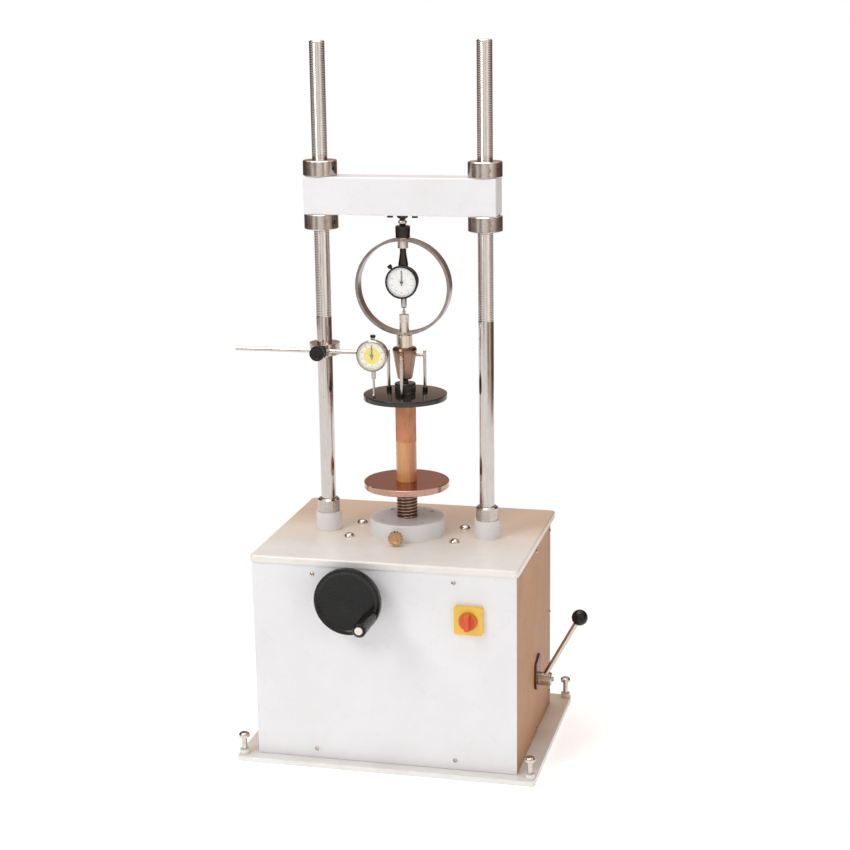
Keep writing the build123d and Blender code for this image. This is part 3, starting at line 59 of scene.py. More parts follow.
def addNode(tree, kind, inputs, give=0, stops=(), **settings):
    # inputs: socket to a value, a hex colour or another node's output; give: the output that comes back
    node = tree.nodes.new("ShaderNode" + kind)
    for name, value in settings.items():
        setattr(node, name, value)
    for socket, value in inputs.items():
        if isinstance(value, bpy.types.NodeSocket):
            tree.links.new(value, node.inputs[socket])
        else:
            node.inputs[socket].default_value = linear(value) if isinstance(value, str) else value
    for step, (place, colour) in enumerate(stops):
        elements = node.color_ramp.elements
        stop = elements[step] if step < 2 else elements.new(place)
        stop.position = place
        stop.color = linear(colour)
    return node.outputs[give] if node.outputs else node


# How finely a worn edge is sampled, and the noise in mm that breaks it up
wornEdge = {"samples": 4, "breaks": 4, "detail": 5}


def pattern(tree, place, look):
    # A value over the surface: noise of a size in mm, a distance along or round an axis,
    # or nearness to an edge
    if "along" in look:
        return addNode(tree, "SeparateXYZ", {0: place}, look["along"])
    if "centre" in look:
        centred = addNode(tree, "VectorMath", {0: place, 1: tuple(v * mm for v in look["centre"])},
                          operation="SUBTRACT")
        flat = addNode(tree, "VectorMath", {0: centred, 1: look["across"]}, operation="MULTIPLY")
        return addNode(tree, "VectorMath", {0: flat}, "Value", operation="LENGTH")
    if "edge" in look:
        soft = addNode(tree, "Bevel", {"Radius": look["edge"] * mm}, samples=wornEdge["samples"])
        hard = addNode(tree, "NewGeometry", {}, "Normal")
        match = addNode(tree, "VectorMath", {0: soft, 1: hard}, "Value", operation="DOT_PRODUCT")
        bend = addNode(tree, "Math", {0: 1.0, 1: match}, operation="SUBTRACT")
        broken = addNode(tree, "TexNoise", {
            "Vector": place, "Scale": 1 / (wornEdge["breaks"] * mm), "Detail": wornEdge["detail"],
        })
        return addNode(tree, "Math", {0: bend, 1: broken}, operation="MULTIPLY")
    scale = tuple(1 / (v * mm) for v in look["size"])
    sized = addNode(tree, "Mapping", {"Vector": place, "Scale": scale})
    return addNode(tree, "TexNoise", {
        "Vector": sized, "Scale": 1.0, "Detail": look.get("detail", 4), "Roughness": look.get("rough", 0.6),
    })


def makeFinish(name, look):
    # A base colour with layers over it, each where its own pattern runs from low to high;
    # roughness and bump come from patterns in the same way
    material = bpy.data.materials.new(name)
    material.use_nodes = True
    tree = material.node_tree
    tree.nodes.clear()
    place = addNode(tree, "TexCoord", {}, "Object")
    made = {key: pattern(tree, place, value) for key, value in look["patterns"].items()}
    colour = look["colour"]
    for key, low, high, amount, over in look["layers"]:
        share = addNode(tree, "MapRange", {0: made[key], 1: low, 2: high, 3: 0.0, 4: amount})
        colour = addNode(tree, "Mix", {0: share, 6: colour, 7: over}, 2, data_type="RGBA")
    key, low, high, smooth, rough = look["roughness"]
    roughness = addNode(tree, "MapRange", {0: made[key], 1: low, 2: high, 3: smooth, 4: rough})
    inputs = {"Base Color": colour, "Roughness": roughness, **look.get("shader", {})}
    for key, depth in look["bumps"]:
        relief = {"Height": made[key], "Distance": depth * mm, "Strength": 1.0}
        if "Normal" in inputs:
            relief["Normal"] = inputs["Normal"]
        inputs["Normal"] = addNode(tree, "Bump", relief)
    shader = addNode(tree, "BsdfPrincipled", inputs)
    addNode(tree, "OutputMaterial", {"Surface": shader})
    return material


# Pattern sizes are in mm. Orange peel, tool lines, moulded skin, clay grains and card fibres are
# a few times coarser than on the real machine, so that they show in a render of the whole
print("finishes")


def enamel(name, colour, shade, dirt, extra=(), patterns=None, rough=(0.3, 0.44), coat=0.25):
    # Stoved enamel on sheet: soft gloss over orange peel, faint dust, edges rubbed a little darker
    return makeFinish(name, {
        "colour": colour,
        "patterns": {
            "patches": {"size": (120, 120, 120)}, "dust": {"size": (18, 18, 18), "detail": 7, "rough": 0.72},
            "peel": {"size": (2.2, 2.2, 2.2), "detail": 2}, "edges": {"edge": 2.2}, **(patterns or {}),
        },
        "layers": [("patches", 0.35, 0.7, 1.0, shade), *extra, ("dust", 0.56, 0.82, 0.35, dirt),
                   ("edges", 0.02, 0.16, 0.5, dirt)],
        "roughness": ("dust", 0.3, 0.8, *rough),
        "bumps": [("peel", 0.05)],
        "shader": {"IOR": 1.5, "Coat Weight": coat, "Coat Roughness": 0.14},
    })


def metal(name, colour, shade, stain, grain, rough, depth=0.008, layers=(), patterns=None, stained=0.35):
    # Bare or plated metal: tool lines stretched along the way it was cut, smears of oil, rubbed bright edges
    return makeFinish(name, {
        "colour": colour,
        "patterns": {
            "lines": {"size": grain, "detail": 4}, "smears": {"size": (28, 28, 28), "detail": 5},
            "stains": {"size": (9, 9, 9), "detail": 6, "rough": 0.68}, "edges": {"edge": 0.8},
            **(patterns or {}),
        },
        "layers": [("lines", 0.3, 0.7, 1.0, shade), *layers, ("stains", 0.52, 0.78, stained, stain),
                   ("edges", 0.03, 0.2, 0.5, colour)],
        "roughness": ("smears", 0.3, 0.75, *rough),
        "bumps": [("lines", depth)],
        "shader": {"Metallic": 1.0},
    })


def moulded(name, colour, shade, scuff, rough, scuffed=0.25, layers=(), patterns=None, shader=None):
    # Moulded plastic: a fine skin, scuffs that dull and lighten it, edges worn towards the scuff colour
    return makeFinish(name, {
        "colour": colour,
        "patterns": {
            "mottle": {"size": (25, 25, 25)}, "scuffs": {"size": (11, 11, 4), "detail": 8, "rough": 0.76},
            "skin": {"size": (0.9, 0.9, 0.9), "detail": 2}, "edges": {"edge": 1.0}, **(patterns or {}),
        },
        "layers": [("mottle", 0.3, 0.7, 1.0, shade), *layers, ("scuffs", 0.58, 0.76, scuffed, scuff),
                   ("edges", 0.03, 0.2, 0.5, scuff)],
        "roughness": ("scuffs", 0.4, 0.75, *rough),
        "bumps": [("skin", 0.02)],
        "shader": {"IOR": 1.5, **(shader or {})},
    })


# White panels, beam and flange: clean and faintly cool
whiteEnamel = enamel("white stove enamel", "#ECEBED", "#E6E4E5", "#CFC8BE")
# The plate that carries the columns: painted warm shade and reflected brown light towards its back, behind
# the flange
topEnamel = enamel(
    "top stove enamel with painted warm shade", "#F1ECE7", "#E9E2DA", "#BFAE9C", patterns={"back": {"along": 1}},
    # painted warm shade: two browner layers towards the back stand in for shade and brown light reflected
    # there
    extra=[("back", -0.13, 0.02, 0.55, "#E0C6A8"), ("back", 0.0, 0.1, 0.6, "#C49C7C")],
)
# The base plate is warmer towards its back: painted warm shade and reflected brown light
baseEnamel = enamel(
    "base stove enamel with painted warm shade", "#EFECE8", "#E7E2DC", "#BDB0A0", patterns={"back": {"along": 1}},
    # painted warm shade: browner towards the back
    extra=[("back", -0.1, 0.16, 0.75, "#CFB194")],
)
# Side panels: painted warm light, white enamel shown beige as in brown light, darker towards the back
beigeEnamel = enamel(
    "side stove enamel in painted warm light", "#C08C60", "#B78358", "#9A7452", rough=(0.5, 0.62), coat=0.0,
    patterns={"back": {"along": 1}}, extra=[("back", 0.04, 0.17, 0.6, "#A37B64")],
)
# Primer inside the cabinet: flat grey, never polished
primer = enamel("grey primer", "#7E8286", "#73777B", "#9A958B", rough=(0.6, 0.76), coat=0.0)
# Hard chrome: nearly a mirror, ground upright before it was plated
hardChrome = metal(
    "hard chrome", "#DDD6D2", "#CBC2BC", "#A98F7C", (1.1, 1.1, 25), (0.07, 0.17), 0.003, stained=0.2,
)
# Nickel plate on nuts and screws: turned rings under the plate, softer than the columns
nickelPlate = metal("bright nickel plate", "#D6CFC8", "#BDB4AB", "#98806C", (16, 16, 0.7), (0.13, 0.27))
# Shafts of the drive: ground round, a grey sheen under brown oil
groundSteel = metal("ground tool steel", "#B5A9A0", "#94877E", "#8A6550", (12, 12, 0.6), (0.2, 0.36), 0.01)
# Ram thread: darker brown in the grooves, the crests at the lighter base colour
grooveDarkScrewSteel = metal(
    "screw steel darker in its grooves", "#C9B2A6", "#A98B7D", "#7B5546", (12, 12, 0.8), (0.18, 0.34), 0.01,
    patterns={"deep": {"centre": (0, 0, 0), "across": (1, 1, 0)}},
    layers=[("deep", 19.5 * mm, 17.9 * mm, 0.9, "#4E332A")],
)
# Spring steel ring: drawn round, under a thin brown oil film; its pads near the axis are bright
springSteel = metal(
    "oiled spring steel", "#B8AEA8", "#988C85", "#86685A", (14, 0.6, 14), (0.2, 0.34), stained=0.6,
    patterns={"axis": {"centre": (0, 0, 0), "across": (1, 1, 0)}},
    layers=[("axis", 12.5 * mm, 11.5 * mm, 1.0, "#EDE4DC")],
)
# Platen: its upper face is polished by specimens and painted red-brown, a painted reflection of brown
# surroundings
platenSteel = metal(
    "polished platen steel", "#D0AC9C", "#B98C7B", "#93594A", (2, 2, 3.5), (0.14, 0.28), 0.006,
    patterns={"height": {"along": 2}}, stained=0.5,
    # painted reflection: red-brown over the upper face
    layers=[("height", 494.5 * mm, 495.5 * mm, 0.55, "#A8604A")],
)
# Cone: brown steel, darker over its top below the shoulder, its spindle bright and creamy above the shoulder
coneSteel = metal(
    "brown cone steel", "#B4917C", "#8B6553", "#55382B", (0.9, 0.9, 16), (0.18, 0.32), 0.01,
    patterns={"height": {"along": 2}},
    layers=[("height", 735 * mm, 745 * mm, 0.75, "#5E4032"),
            ("height", 747.2 * mm, 747.8 * mm, 1.0, "#EADBC8")],
)
# Blacked steel: dark grey, dull, rubbed brown where it is touched
blackedSteel = metal("chemically blacked steel", "#4A4542", "#383432", "#6B5A50", (3, 3, 1), (0.26, 0.42))
# Steel of the lever's index plate: its brown is painted warm light on dark steel
warmLitIndexSteel = metal("index steel in painted warm light", "#7A5240", "#5E3F31", "#3E2A22", (3, 3, 1), (0.3, 0.45))
# Brass knob: turned face rings, tarnished to tan
machineBrass = metal("machined brass", "#D9B48A", "#BE9468", "#8D6A48", (16, 0.7, 16), (0.24, 0.4), 0.01)
# Cast iron: sandy grain, machined and left to darken
castIron = metal("machined cast iron", "#6A6764", "#504D4B", "#4A3B32", (2.5, 2.5, 2.5), (0.45, 0.62), 0.05)
# Bearing bronze: warm, with fine turned rings
bronze = metal("bearing bronze", "#C08F5C", "#A37443", "#6F4E30", (12, 12, 0.7), (0.25, 0.42), 0.01)
# Phenolic: hard black plastic with a polished skin that hands have dulled
phenolic = moulded(
    "black phenolic", "#171615", "#1E1C1B", "#4A4642", (0.2, 0.42), shader={"Specular IOR Level": 0.3},
)
# Disc: hard rubber-like black lacquer, polished so that the posts mirror in it
discLacquer = moulded("polished black lacquer", "#2A2725", "#332F2C", "#6A625A", (0.05, 0.16), 0.2)
# Paint on the dials' hands: flat black, no sheen
matteBlack = moulded("matt black hand paint", "#161616", "#1E1D1C", "#333333", (0.45, 0.6), 0.1)
# Ink of the scales: pale grey, so that the faces read nearly white from afar
greyInk = moulded("grey dial ink", "#A09C95", "#96928B", "#B0ACA4", (0.5, 0.6), 0.1)
# Isolator plate: warm yellow, satin
yellowPlastic = moulded("yellow polycarbonate", "#F2C850", "#EDBD48", "#CFA042", (0.32, 0.5))
# Isolator knob: orange-red, browner in a ring at its rim
redPlastic = moulded(
    "orange-red polycarbonate", "#EA5A34", "#E04E2C", "#B5452C", (0.28, 0.45),
    patterns={"reach": {"centre": (157.5, 0, 297.5), "across": (1, 0, 1)}},
    layers=[("reach", 11.5 * mm, 13.5 * mm, 0.8, "#C4701E")],
)
# Belt rubber: flat black with grey dust
rubber = moulded("black belt rubber", "#242322", "#2E2C2B", "#55504B", (0.6, 0.8))
# End disc of the crank: creamy, yellowed a little
ivory = moulded("ivory plastic", "#F1ECE0", "#E7DECC", "#BDB29C", (0.3, 0.45))
# Damp remoulded clay: orange-brown, darker damp patches, smeared upright by its sampling tube
clay = makeFinish("damp clay", {
    "colour": "#D08A64",
    "patterns": {
        "damp": {"size": (22, 22, 22), "detail": 5}, "smear": {"size": (3.8, 3.8, 32), "detail": 5},
        "grains": {"size": (1.1, 1.1, 1.1), "detail": 3},
    },
    "layers": [("damp", 0.3, 0.7, 1.0, "#B9704C"), ("smear", 0.45, 0.75, 0.5, "#DDA078"),
               ("grains", 0.62, 0.75, 0.5, "#8A5135")],
    "roughness": ("damp", 0.3, 0.7, 0.5, 0.75),
    "bumps": [("smear", 0.16), ("grains", 0.1)],
})
# Varnished beech: straight upright grain, fine dark flecks, under a clear golden coat; its right side painted
# darker and redder as shade
wood = makeFinish("varnished beech", {
    "colour": "#E3AE70",
    "patterns": {
        "grain": {"size": (4, 4, 110), "detail": 6}, "flecks": {"size": (1.1, 1.1, 11), "detail": 3},
        "tone": {"size": (30, 30, 160), "detail": 3}, "side": {"along": 0},
    },
    "layers": [("grain", 0.35, 0.68, 1.0, "#CC8C54"), ("tone", 0.4, 0.7, 0.4, "#D0794E"),
               # painted shade: the right side, away from the key lamp, is darker and redder
               ("side", 4 * mm, 16 * mm, 0.5, "#C4623C"), ("flecks", 0.62, 0.72, 0.5, "#96592E")],
    "roughness": ("grain", 0.3, 0.7, 0.25, 0.4),
    "bumps": [("grain", 0.08)],
    "shader": {"Coat Weight": 0.6, "Coat Roughness": 0.08},
})
# Dial crystal: clear acrylic that only adds a faint sheen over the card
crystal = makeFinish("clear acrylic crystal", {
    "colour": "#FFFFFF",
    "patterns": {"hair": {"size": (2, 2, 2), "detail": 6, "rough": 0.7}},
    "layers": [],
    "roughness": ("hair", 0.4, 0.8, 0.02, 0.12),
    "bumps": [("hair", 0.0005)],
    "shader": {"IOR": 1.49, "Alpha": 0.1},
})

cadFinishes = [
    (whiteEnamel, ["front_panel", "rear_panel", "column_sleeves", "crosshead_beam", "ram_flange"]),
    (topEnamel, ["top_plate"]),
    (baseEnamel, ["base_plate"]),
    (beigeEnamel, ["left_panel", "right_panel"]),
    (primer, ["cabinet_frame", "motor_body"]),
    (castIron, ["gearbox_housing", "clutch_pulley", "worm_pulley"]),
    (bronze, ["gearbox_bushes", "worm_wheel"]),
    (groundSteel, ["worm_shaft", "motor_rotor", "clutch_sleeve", "shift_fork"]),
    (coneSteel, ["loading_cone"]),
    (springSteel, ["proving_ring"]),
    (platenSteel, ["lower_platen"]),
    (nickelPlate, [
        "column_ring_nuts", "left_crosshead_nuts", "right_crosshead_nuts", "gauge_clamp", "cone_lock_screw",
        "lever_shaft", "gauge_plunger", "ring_dial_plunger", "gauge_rod", "gauge_case",
        "rear_left_levelling_screw", "front_left_levelling_screw",
        "front_right_levelling_screw", "rear_right_levelling_screw",
    ]),
    (warmLitIndexSteel, ["index_plate"]),
    (blackedSteel, ["ring_dial_case"]),
    (phenolic, ["crank_handle", "lever_ball", "power_inlet"]),
    (matteBlack, ["ring_dial_hand", "gauge_hand"]),
    (yellowPlastic, ["isolator_switch"]),
    (rubber, ["drive_belt"]),
    (clay, ["specimen"]),
    (wood, ["specimen_base"]),
]
for material, names in cadFinishes:
    for name in names:
        for materialSlot in nodes[name].material_slots:
            materialSlot.material = material


# Ways a piece can face: its own x, its own y, and the way its heights run
facings = {
    "up": ((1, 0, 0), (0, 1, 0), (0, 0, 1)),
    "front": ((1, 0, 0), (0, 0, 1), (0, -1, 0)),
    "back": ((-1, 0, 0), (0, 0, 1), (0, 1, 0)),
    "right": ((0, 1, 0), (0, 0, 1), (1, 0, 0)),
    "left": ((0, -1, 0), (0, 0, 1), (-1, 0, 0)),
}


def placed(local, centre, facing):
    # Local x, y and height in mm, carried to the frame in metres
    basis = facings[facing] if isinstance(facing, str) else facing
    return (local @ np.array(basis, float) + np.array(centre, float)) * mm


# What a piece takes where its own dictionary says nothing: degrees, a count, and mm
usual = {"sharp": 32, "turns": 48, "rounding": 0.5, "facing": "up", "places": [(0, 0, 0)], "relief": None}
# A corner takes at most this share of the shorter side beside it, in this many steps
corners = {"share": 0.45, "steps": 3}
mergeReach = 0.002 * mm


def softened(outline, rounding):
    # Each inner corner of an outline becomes a short parabola between points one rounding away from it
    points = np.array(outline, float)
    before, corner, after = points[:-2], points[1:-1], points[2:]
    toBefore, toAfter = before - corner, after - corner
    lengthBefore = np.linalg.norm(toBefore, axis=1, keepdims=True)
    lengthAfter = np.linalg.norm(toAfter, axis=1, keepdims=True)
    start = corner + toBefore / lengthBefore * np.minimum(rounding, lengthBefore * corners["share"])
    end = corner + toAfter / lengthAfter * np.minimum(rounding, lengthAfter * corners["share"])
    t = np.linspace(0, 1, corners["steps"] + 1)[None, :, None]
    arcs = (1 - t) ** 2 * start[:, None] + 2 * t * (1 - t) * corner[:, None] + t ** 2 * end[:, None]
    return np.vstack([points[:1], arcs.reshape(-1, 2), points[-1:]])


def turned(outline, centre, facing, turns, relief):
    # x = r cos a, y = r sin a over (height, a), where r is the outline's radius less the relief there
    outline = np.array(outline, float)
    angle = np.linspace(0, 2 * pi, turns, endpoint=False)[None, :]
    radius = np.repeat(outline[:, :1], turns, axis=1)
    height = np.repeat(outline[:, 1:], turns, axis=1)
    if relief:
        radius = np.maximum(radius - relief(angle, height, radius), 0)
    local = np.stack([radius * np.cos(angle), radius * np.sin(angle), height], axis=-1)
    return placed(local, centre, facing)


# A knurl runs out over its fade, and cuts only a wall that lies within the band of the rim (mm)
knurlEnds = {"fade": 0.3, "band": 0.6}


def knurled(look):
    # Depth times a squared cosine of the ridges round the rim, between two heights;
    # slant crosses two such cuts
    def relief(angle, height, radius):
        fade = np.clip(np.minimum(height - look["from"], look["to"] - height) / knurlEnds["fade"], 0, 1)
        fade = fade * (radius > look["rim"] - knurlEnds["band"])
        slant = look.get("slant", 0)
        first = np.cos(look["ridges"] * (angle + slant * height) / 2) ** 2
        second = np.cos(look["ridges"] * (angle - slant * height) / 2) ** 2
        return look["depth"] * fade * (1 - (1 - first) * (1 - second) if slant else first)
    return relief


def gridQuads(rows, columns, start=0):
    # Four corners of each cell of a grid that closes round its columns
    index = np.arange(rows * columns).reshape(rows, columns) + start
    across = np.roll(index, -1, axis=1)
    return np.stack([index[:-1], across[:-1], across[1:], index[1:]], axis=-1).reshape(-1, 4)


def addObject(name, mesh, material):
    # A mesh that already holds its place, put in the scene at the origin
    mesh.materials.append(material)
    piece = bpy.data.objects.new(name, mesh)
    bpy.context.scene.collection.objects.link(piece)
    return piece


def makePiece(name, look, grids):
    # Grids become one mesh: doubles merged, faces turned outwards, corners under the sharp angle smooth
    look = {**usual, **look}
    starts = np.cumsum([0] + [grid.shape[0] * grid.shape[1] for grid in grids])
    quads = [gridQuads(grid.shape[0], grid.shape[1], start) for grid, start in zip(grids, starts)]
    mesh = bpy.data.meshes.new(name)
    mesh.from_pydata(np.concatenate([grid.reshape(-1, 3) for grid in grids]), [], np.concatenate(quads))
    work = bmesh.new()
    work.from_mesh(mesh)
    bmesh.ops.remove_doubles(work, verts=work.verts, dist=mergeReach)
    bmesh.ops.recalc_face_normals(work, faces=work.faces)
    work.to_mesh(mesh)
    work.free()
    mesh.shade_smooth()
    mesh.set_sharp_from_angle(angle=radians(look["sharp"]))
    dressed(addObject(name, mesh, look["finish"]), look)


def dressed(piece, look):
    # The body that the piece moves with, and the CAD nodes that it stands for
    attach(piece, look["body"])
    if look.get("stands"):
        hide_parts(*look["stands"])


def turnedPiece(name, look):
    # The outline of (radius, height) in mm, rounded at its corners and turned at each of its places
    look = {**usual, **look}
    outline = softened(look["outline"], look["rounding"]) if look["rounding"] else look["outline"]
    makePiece(name, look, [
        turned(outline, place, look["facing"], look["turns"], look["relief"]) for place in look["places"]
    ])


def onCircle(look):
    # Places spread evenly round a circle, the first at its own angle in degrees
    angles = [radians(look["first"] + step * 360 / look["count"]) for step in range(look["count"])]
    return [(look["circle"] * cos(angle), look["circle"] * sin(angle), 0) for angle in angles]


def span(node):
    # A CAD node's lowest and highest corner in mm
    low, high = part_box(node)
    return np.array(low) / mm, np.array(high) / mm


# Columns: plain chrome below, a 3 mm thread above
print("columns")
columnLook = {
    "body": "frame", "slot": "bright_steel", "finish": hardChrome, "stands": ["columns"], "sharp": 60,
    "x": 152, "radius": 14, "chamfer": 2, "threadStart": 800, "pitch": 3, "depth": 0.42,
    "rowsPerPitch": 5, "turns": 28, "runOut": 1,
}


def columnGrid(x, look):
    # Over (height, angle): the full radius less depth times a wave of height / pitch - angle / one turn
    low, high = span("columns")
    foot, top, radius, plainEnd = low[2], high[2], look["radius"], look["threadStart"] - look["runOut"]
    threadEnd = top - look["chamfer"]
    threaded = np.arange(look["threadStart"], threadEnd, look["pitch"] / look["rowsPerPitch"])
    heights = np.concatenate([[foot, foot, plainEnd], threaded, [threadEnd, top, top]])
    radii = np.full(len(heights), float(radius))
    radii[[0, -1]] = 0
    radii[-2] = radius - look["chamfer"]

    def thread(angle, height, radius):
        wave = 0.5 - 0.5 * np.cos(2 * pi * height / look["pitch"] - angle)
        inside = (height >= look["threadStart"]) & (height < threadEnd - look["runOut"]) & (radius > 0)
        return look["depth"] * wave * inside

    return turned(np.stack([radii, heights], axis=1), (x, 0, 0), "up", look["turns"], thread)


makePiece("column_pair", columnLook, [columnGrid(side * columnLook["x"], columnLook) for side in (-1, 1)])

# Ram: a coarse lifting thread with a keyway down its back
print("ram")
ramLook = {
    "body": "lift", "slot": "ground_steel", "finish": grooveDarkScrewSteel, "stands": ["ram_screw"], "sharp": 40,
    "radius": 19.5, "spigotRadius": 10, "spigot": 6, "plainTop": 4.5, "plainFoot": 6, "turns": 72,
    "pitch": 6, "depth": 1.7, "rowsPerPitch": 10, "runOut": 1, "steep": 0.9,
    "keyHalfWidth": 3.15, "keyDepth": 3.5, "keyLand": 5,
}


def ramGrid(look):
    # Thread: depth times a wave clipped flat at crest and root; keyway: a narrow arc cut back at the rear
    low, high = span("ram_screw")
    foot, spigotTop = low[2], high[2]
    top, radius = spigotTop - look["spigot"], look["radius"]
    start, stop = foot + look["plainFoot"], top - look["plainTop"]
    threaded = np.arange(start, stop, look["pitch"] / look["rowsPerPitch"])
    radii = np.concatenate([[0, radius], np.full(len(threaded), radius), [radius, radius]])
    radii = np.concatenate([radii, [look["spigotRadius"], look["spigotRadius"], 0]])
    heights = np.concatenate([[foot, foot], threaded, [stop, top, top, spigotTop, spigotTop]])

    def cut(angle, height, reach):
        wave = np.clip(0.5 + look["steep"] * np.cos(2 * pi * height / look["pitch"] - angle), 0, 1)
        outer = reach > look["spigotRadius"]
        away = look["depth"] * wave * ((height > start) & (height < stop - look["runOut"]) & outer)
        inKey = (np.abs(np.cos(angle)) * radius < look["keyHalfWidth"]) & (np.sin(angle) > 0)
        return np.where(inKey & (height < top - look["keyLand"]) & outer, look["keyDepth"], away)

    return turned(np.stack([radii, heights], axis=1), (0, 0, 0), "up", look["turns"], cut)


makePiece("ram_thread", ramLook, [ramGrid(ramLook)])

# Upper disc: polished black with a diamond-knurled hub and a domed nose
print("disc and posts")
discLook = {
    "hub": 19.5, "hubFoot": 662.3, "hubTop": 679, "hubRings": 12, "plateRounding": 1, "noseRounding": 0.6,
    "plate": [(0, 650.5), (77, 650.5), (77, 660.5), (18.7, 660.5), (18.7, 661.7)],
    "nose": [(18, 680.5), (6, 680.5), (6, 684.7), (3.6, 687.3), (0, 687.7)],
}
hubHeights = np.linspace(discLook["hubFoot"], discLook["hubTop"], discLook["hubRings"])
hubWall = [(discLook["hub"], height) for height in hubHeights]
discOutline = np.vstack([
    softened([*discLook["plate"], hubWall[0]], discLook["plateRounding"]),
    hubWall[1:],
    softened([hubWall[-1], *discLook["nose"]], discLook["noseRounding"])[1:],
])
turnedPiece("black_disc", {
    "body": "lift", "slot": "black_oxide", "finish": discLacquer, "stands": ["loading_disc"], "rounding": 0,
    "outline": discOutline, "turns": 176, "sharp": 40,
    "relief": knurled({"rim": 19.5, "from": 662.2, "to": 679.1, "ridges": 44, "depth": 0.8, "slant": 0.12}),
})

# Posts: nickel pins in black hexagonal feet
postPlaces = onCircle({"circle": 39, "first": 34.4, "count": 3})


def hexagon(angle, height, radius):
    # Takes a circle through the corners back to the flats of a hexagon
    return radius * (1 - cos(pi / 6) / np.cos(angle % (pi / 3) - pi / 6))


turnedPiece("post_pins", {
    "body": "lift", "slot": "bright_steel", "finish": nickelPlate, "stands": ["disc_posts"], "turns": 24,
    "places": postPlaces, "rounding": 0.7,
    "outline": [(0, 661), (3, 661), (3, 729), (2.6, 730), (2.6, 731), (3, 732), (3, 736), (2, 737), (0, 737)],
})
turnedPiece("post_feet", {
    "body": "lift", "slot": "black_oxide", "finish": blackedSteel, "stands": ["disc_posts"], "turns": 24,
    "places": postPlaces, "relief": hexagon, "outline": [(0, 660.5), (5, 660.5), (5, 668.5), (0, 668.5)],
})

# Hanger under the beam: collar and neck, ball, knurled boss, two cap screws
print("hanger")
hangerLook = {"body": "crosshead", "slot": "black_oxide", "stands": ["ring_hanger"]}
turnedPiece("hanger_collar", {
    **hangerLook, "finish": blackedSteel, "rounding": 0.8,
    "outline": [(0, 989), (10, 989), (10, 984), (8, 982), (5, 981), (5, 967.5), (0, 967.5)],
})
turnedPiece("hanger_screws", {
    **hangerLook, "finish": blackedSteel, "places": [(-23, 0, 0), (23, 0, 0)], "turns": 32,
    "outline": [(0, 989), (5.5, 989), (5.5, 983), (3, 983), (3, 986), (0, 986)],
})
bossLook = {"radius": 13.5, "foot": 948.7, "top": 967.4, "rings": 14}
bossHeights = np.linspace(bossLook["foot"], bossLook["top"], bossLook["rings"])
bossWall = [(bossLook["radius"], height) for height in bossHeights]
turnedPiece("hanger_boss", {
    **hangerLook, "finish": blackedSteel, "rounding": 0, "turns": 160, "sharp": 40,
    "outline": [(0, 947.5), (12.5, 947.5), *bossWall, (12.3, 968.5), (0, 968.5)],
    "relief": knurled({"rim": 13.5, "from": 948.6, "to": 967.5, "ridges": 40, "depth": 0.7, "slant": 0.16}),
})
ballLook = {"radius": 8, "halfHeight": 6.3, "level": 974.8, "rings": 17}
ballAngles = np.linspace(-pi / 2, pi / 2, ballLook["rings"])
ballHeights = ballLook["level"] + ballLook["halfHeight"] * np.sin(ballAngles)
turnedPiece("hanger_ball", {
    **hangerLook, "finish": nickelPlate, "slot": "bright_steel", "rounding": 0,
    "outline": np.stack([ballLook["radius"] * np.cos(ballAngles), ballHeights], axis=1),
})

# Handwheel: dished phenolic disc, nickel collar and pin at its rim, ivory end disc
print("handwheel")
wheelLook = {"body": "worm_drive", "facing": "front", "stands": ["handwheel"]}
wheelPlace = (-54, 0, 330)
crankPlace = (-8.5, 0, 310.5)
turnedPiece("wheel_disc", {
    **wheelLook, "slot": "black_plastic", "finish": phenolic, "places": [wheelPlace], "turns": 128,
    "rounding": 2.2, "outline": [
        (0, 193), (15, 193), (15, 218), (55, 223), (55, 218), (61, 218), (61, 232), (56, 232), (51.5, 228.4),
        (30, 227.4), (0, 227),
    ],
})
turnedPiece("crank_pin", {
    **wheelLook, "slot": "bright_steel", "finish": nickelPlate, "places": [crankPlace], "rounding": 0.8,
    "outline": [(0, 220), (8, 220), (8, 236), (4, 236), (4, 314), (0, 314)],
})
turnedPiece("crank_end", {
    **wheelLook, "slot": "black_plastic", "finish": ivory, "places": [crankPlace], "rounding": 0.6,
    "outline": [(0, 314), (7.2, 314), (7.2, 318), (2.2, 318), (1.6, 317.3), (0, 317.3)],
})

petalLook = {"count": 12, "depth": 2.1, "from": 9, "over": 4.5, "above": 84}


def petals(angle, height, radius):
    # Scallops at the rim: a cosine a petal, fading in over the outer third of the radius
    wave = 0.5 + 0.5 * np.cos(petalLook["count"] * angle)
    fade = np.clip((radius - petalLook["from"]) / petalLook["over"], 0, 1)
    return wave * petalLook["depth"] * fade * (height > petalLook["above"])


turnedPiece("scalloped_knob", {
    "body": "flange_lock", "slot": "bush_bronze", "finish": machineBrass, "stands": ["flange_lock_knob"],
    "facing": "front", "places": [(0, 0, 409)], "turns": 144, "rounding": 0.9, "relief": petals,
    "outline": [
        (0, 30), (4, 30), (4, 85), (13.5, 85), (13.5, 89), (13.5, 93), (13.5, 96), (7.5, 96), (6.8, 95.1),
        (0, 95.1),
    ],
})
turnedPiece("fluted_knob", {
    "body": "clamp_lock", "slot": "black_plastic", "finish": phenolic, "stands": ["clamp_knob"],
    "facing": "front", "places": [(-152, 0, 739)], "turns": 144, "rounding": 1.2,
    "outline": [
        (0, 28.3), (3, 28.3), (3, 41), (14, 41), (14, 45.5), (14, 50), (14, 54), (9, 54), (8, 52.8),
        (0, 52.8),
    ],
    "relief": knurled({"rim": 14, "from": 41.4, "to": 53.6, "ridges": 24, "depth": 0.9}),
})

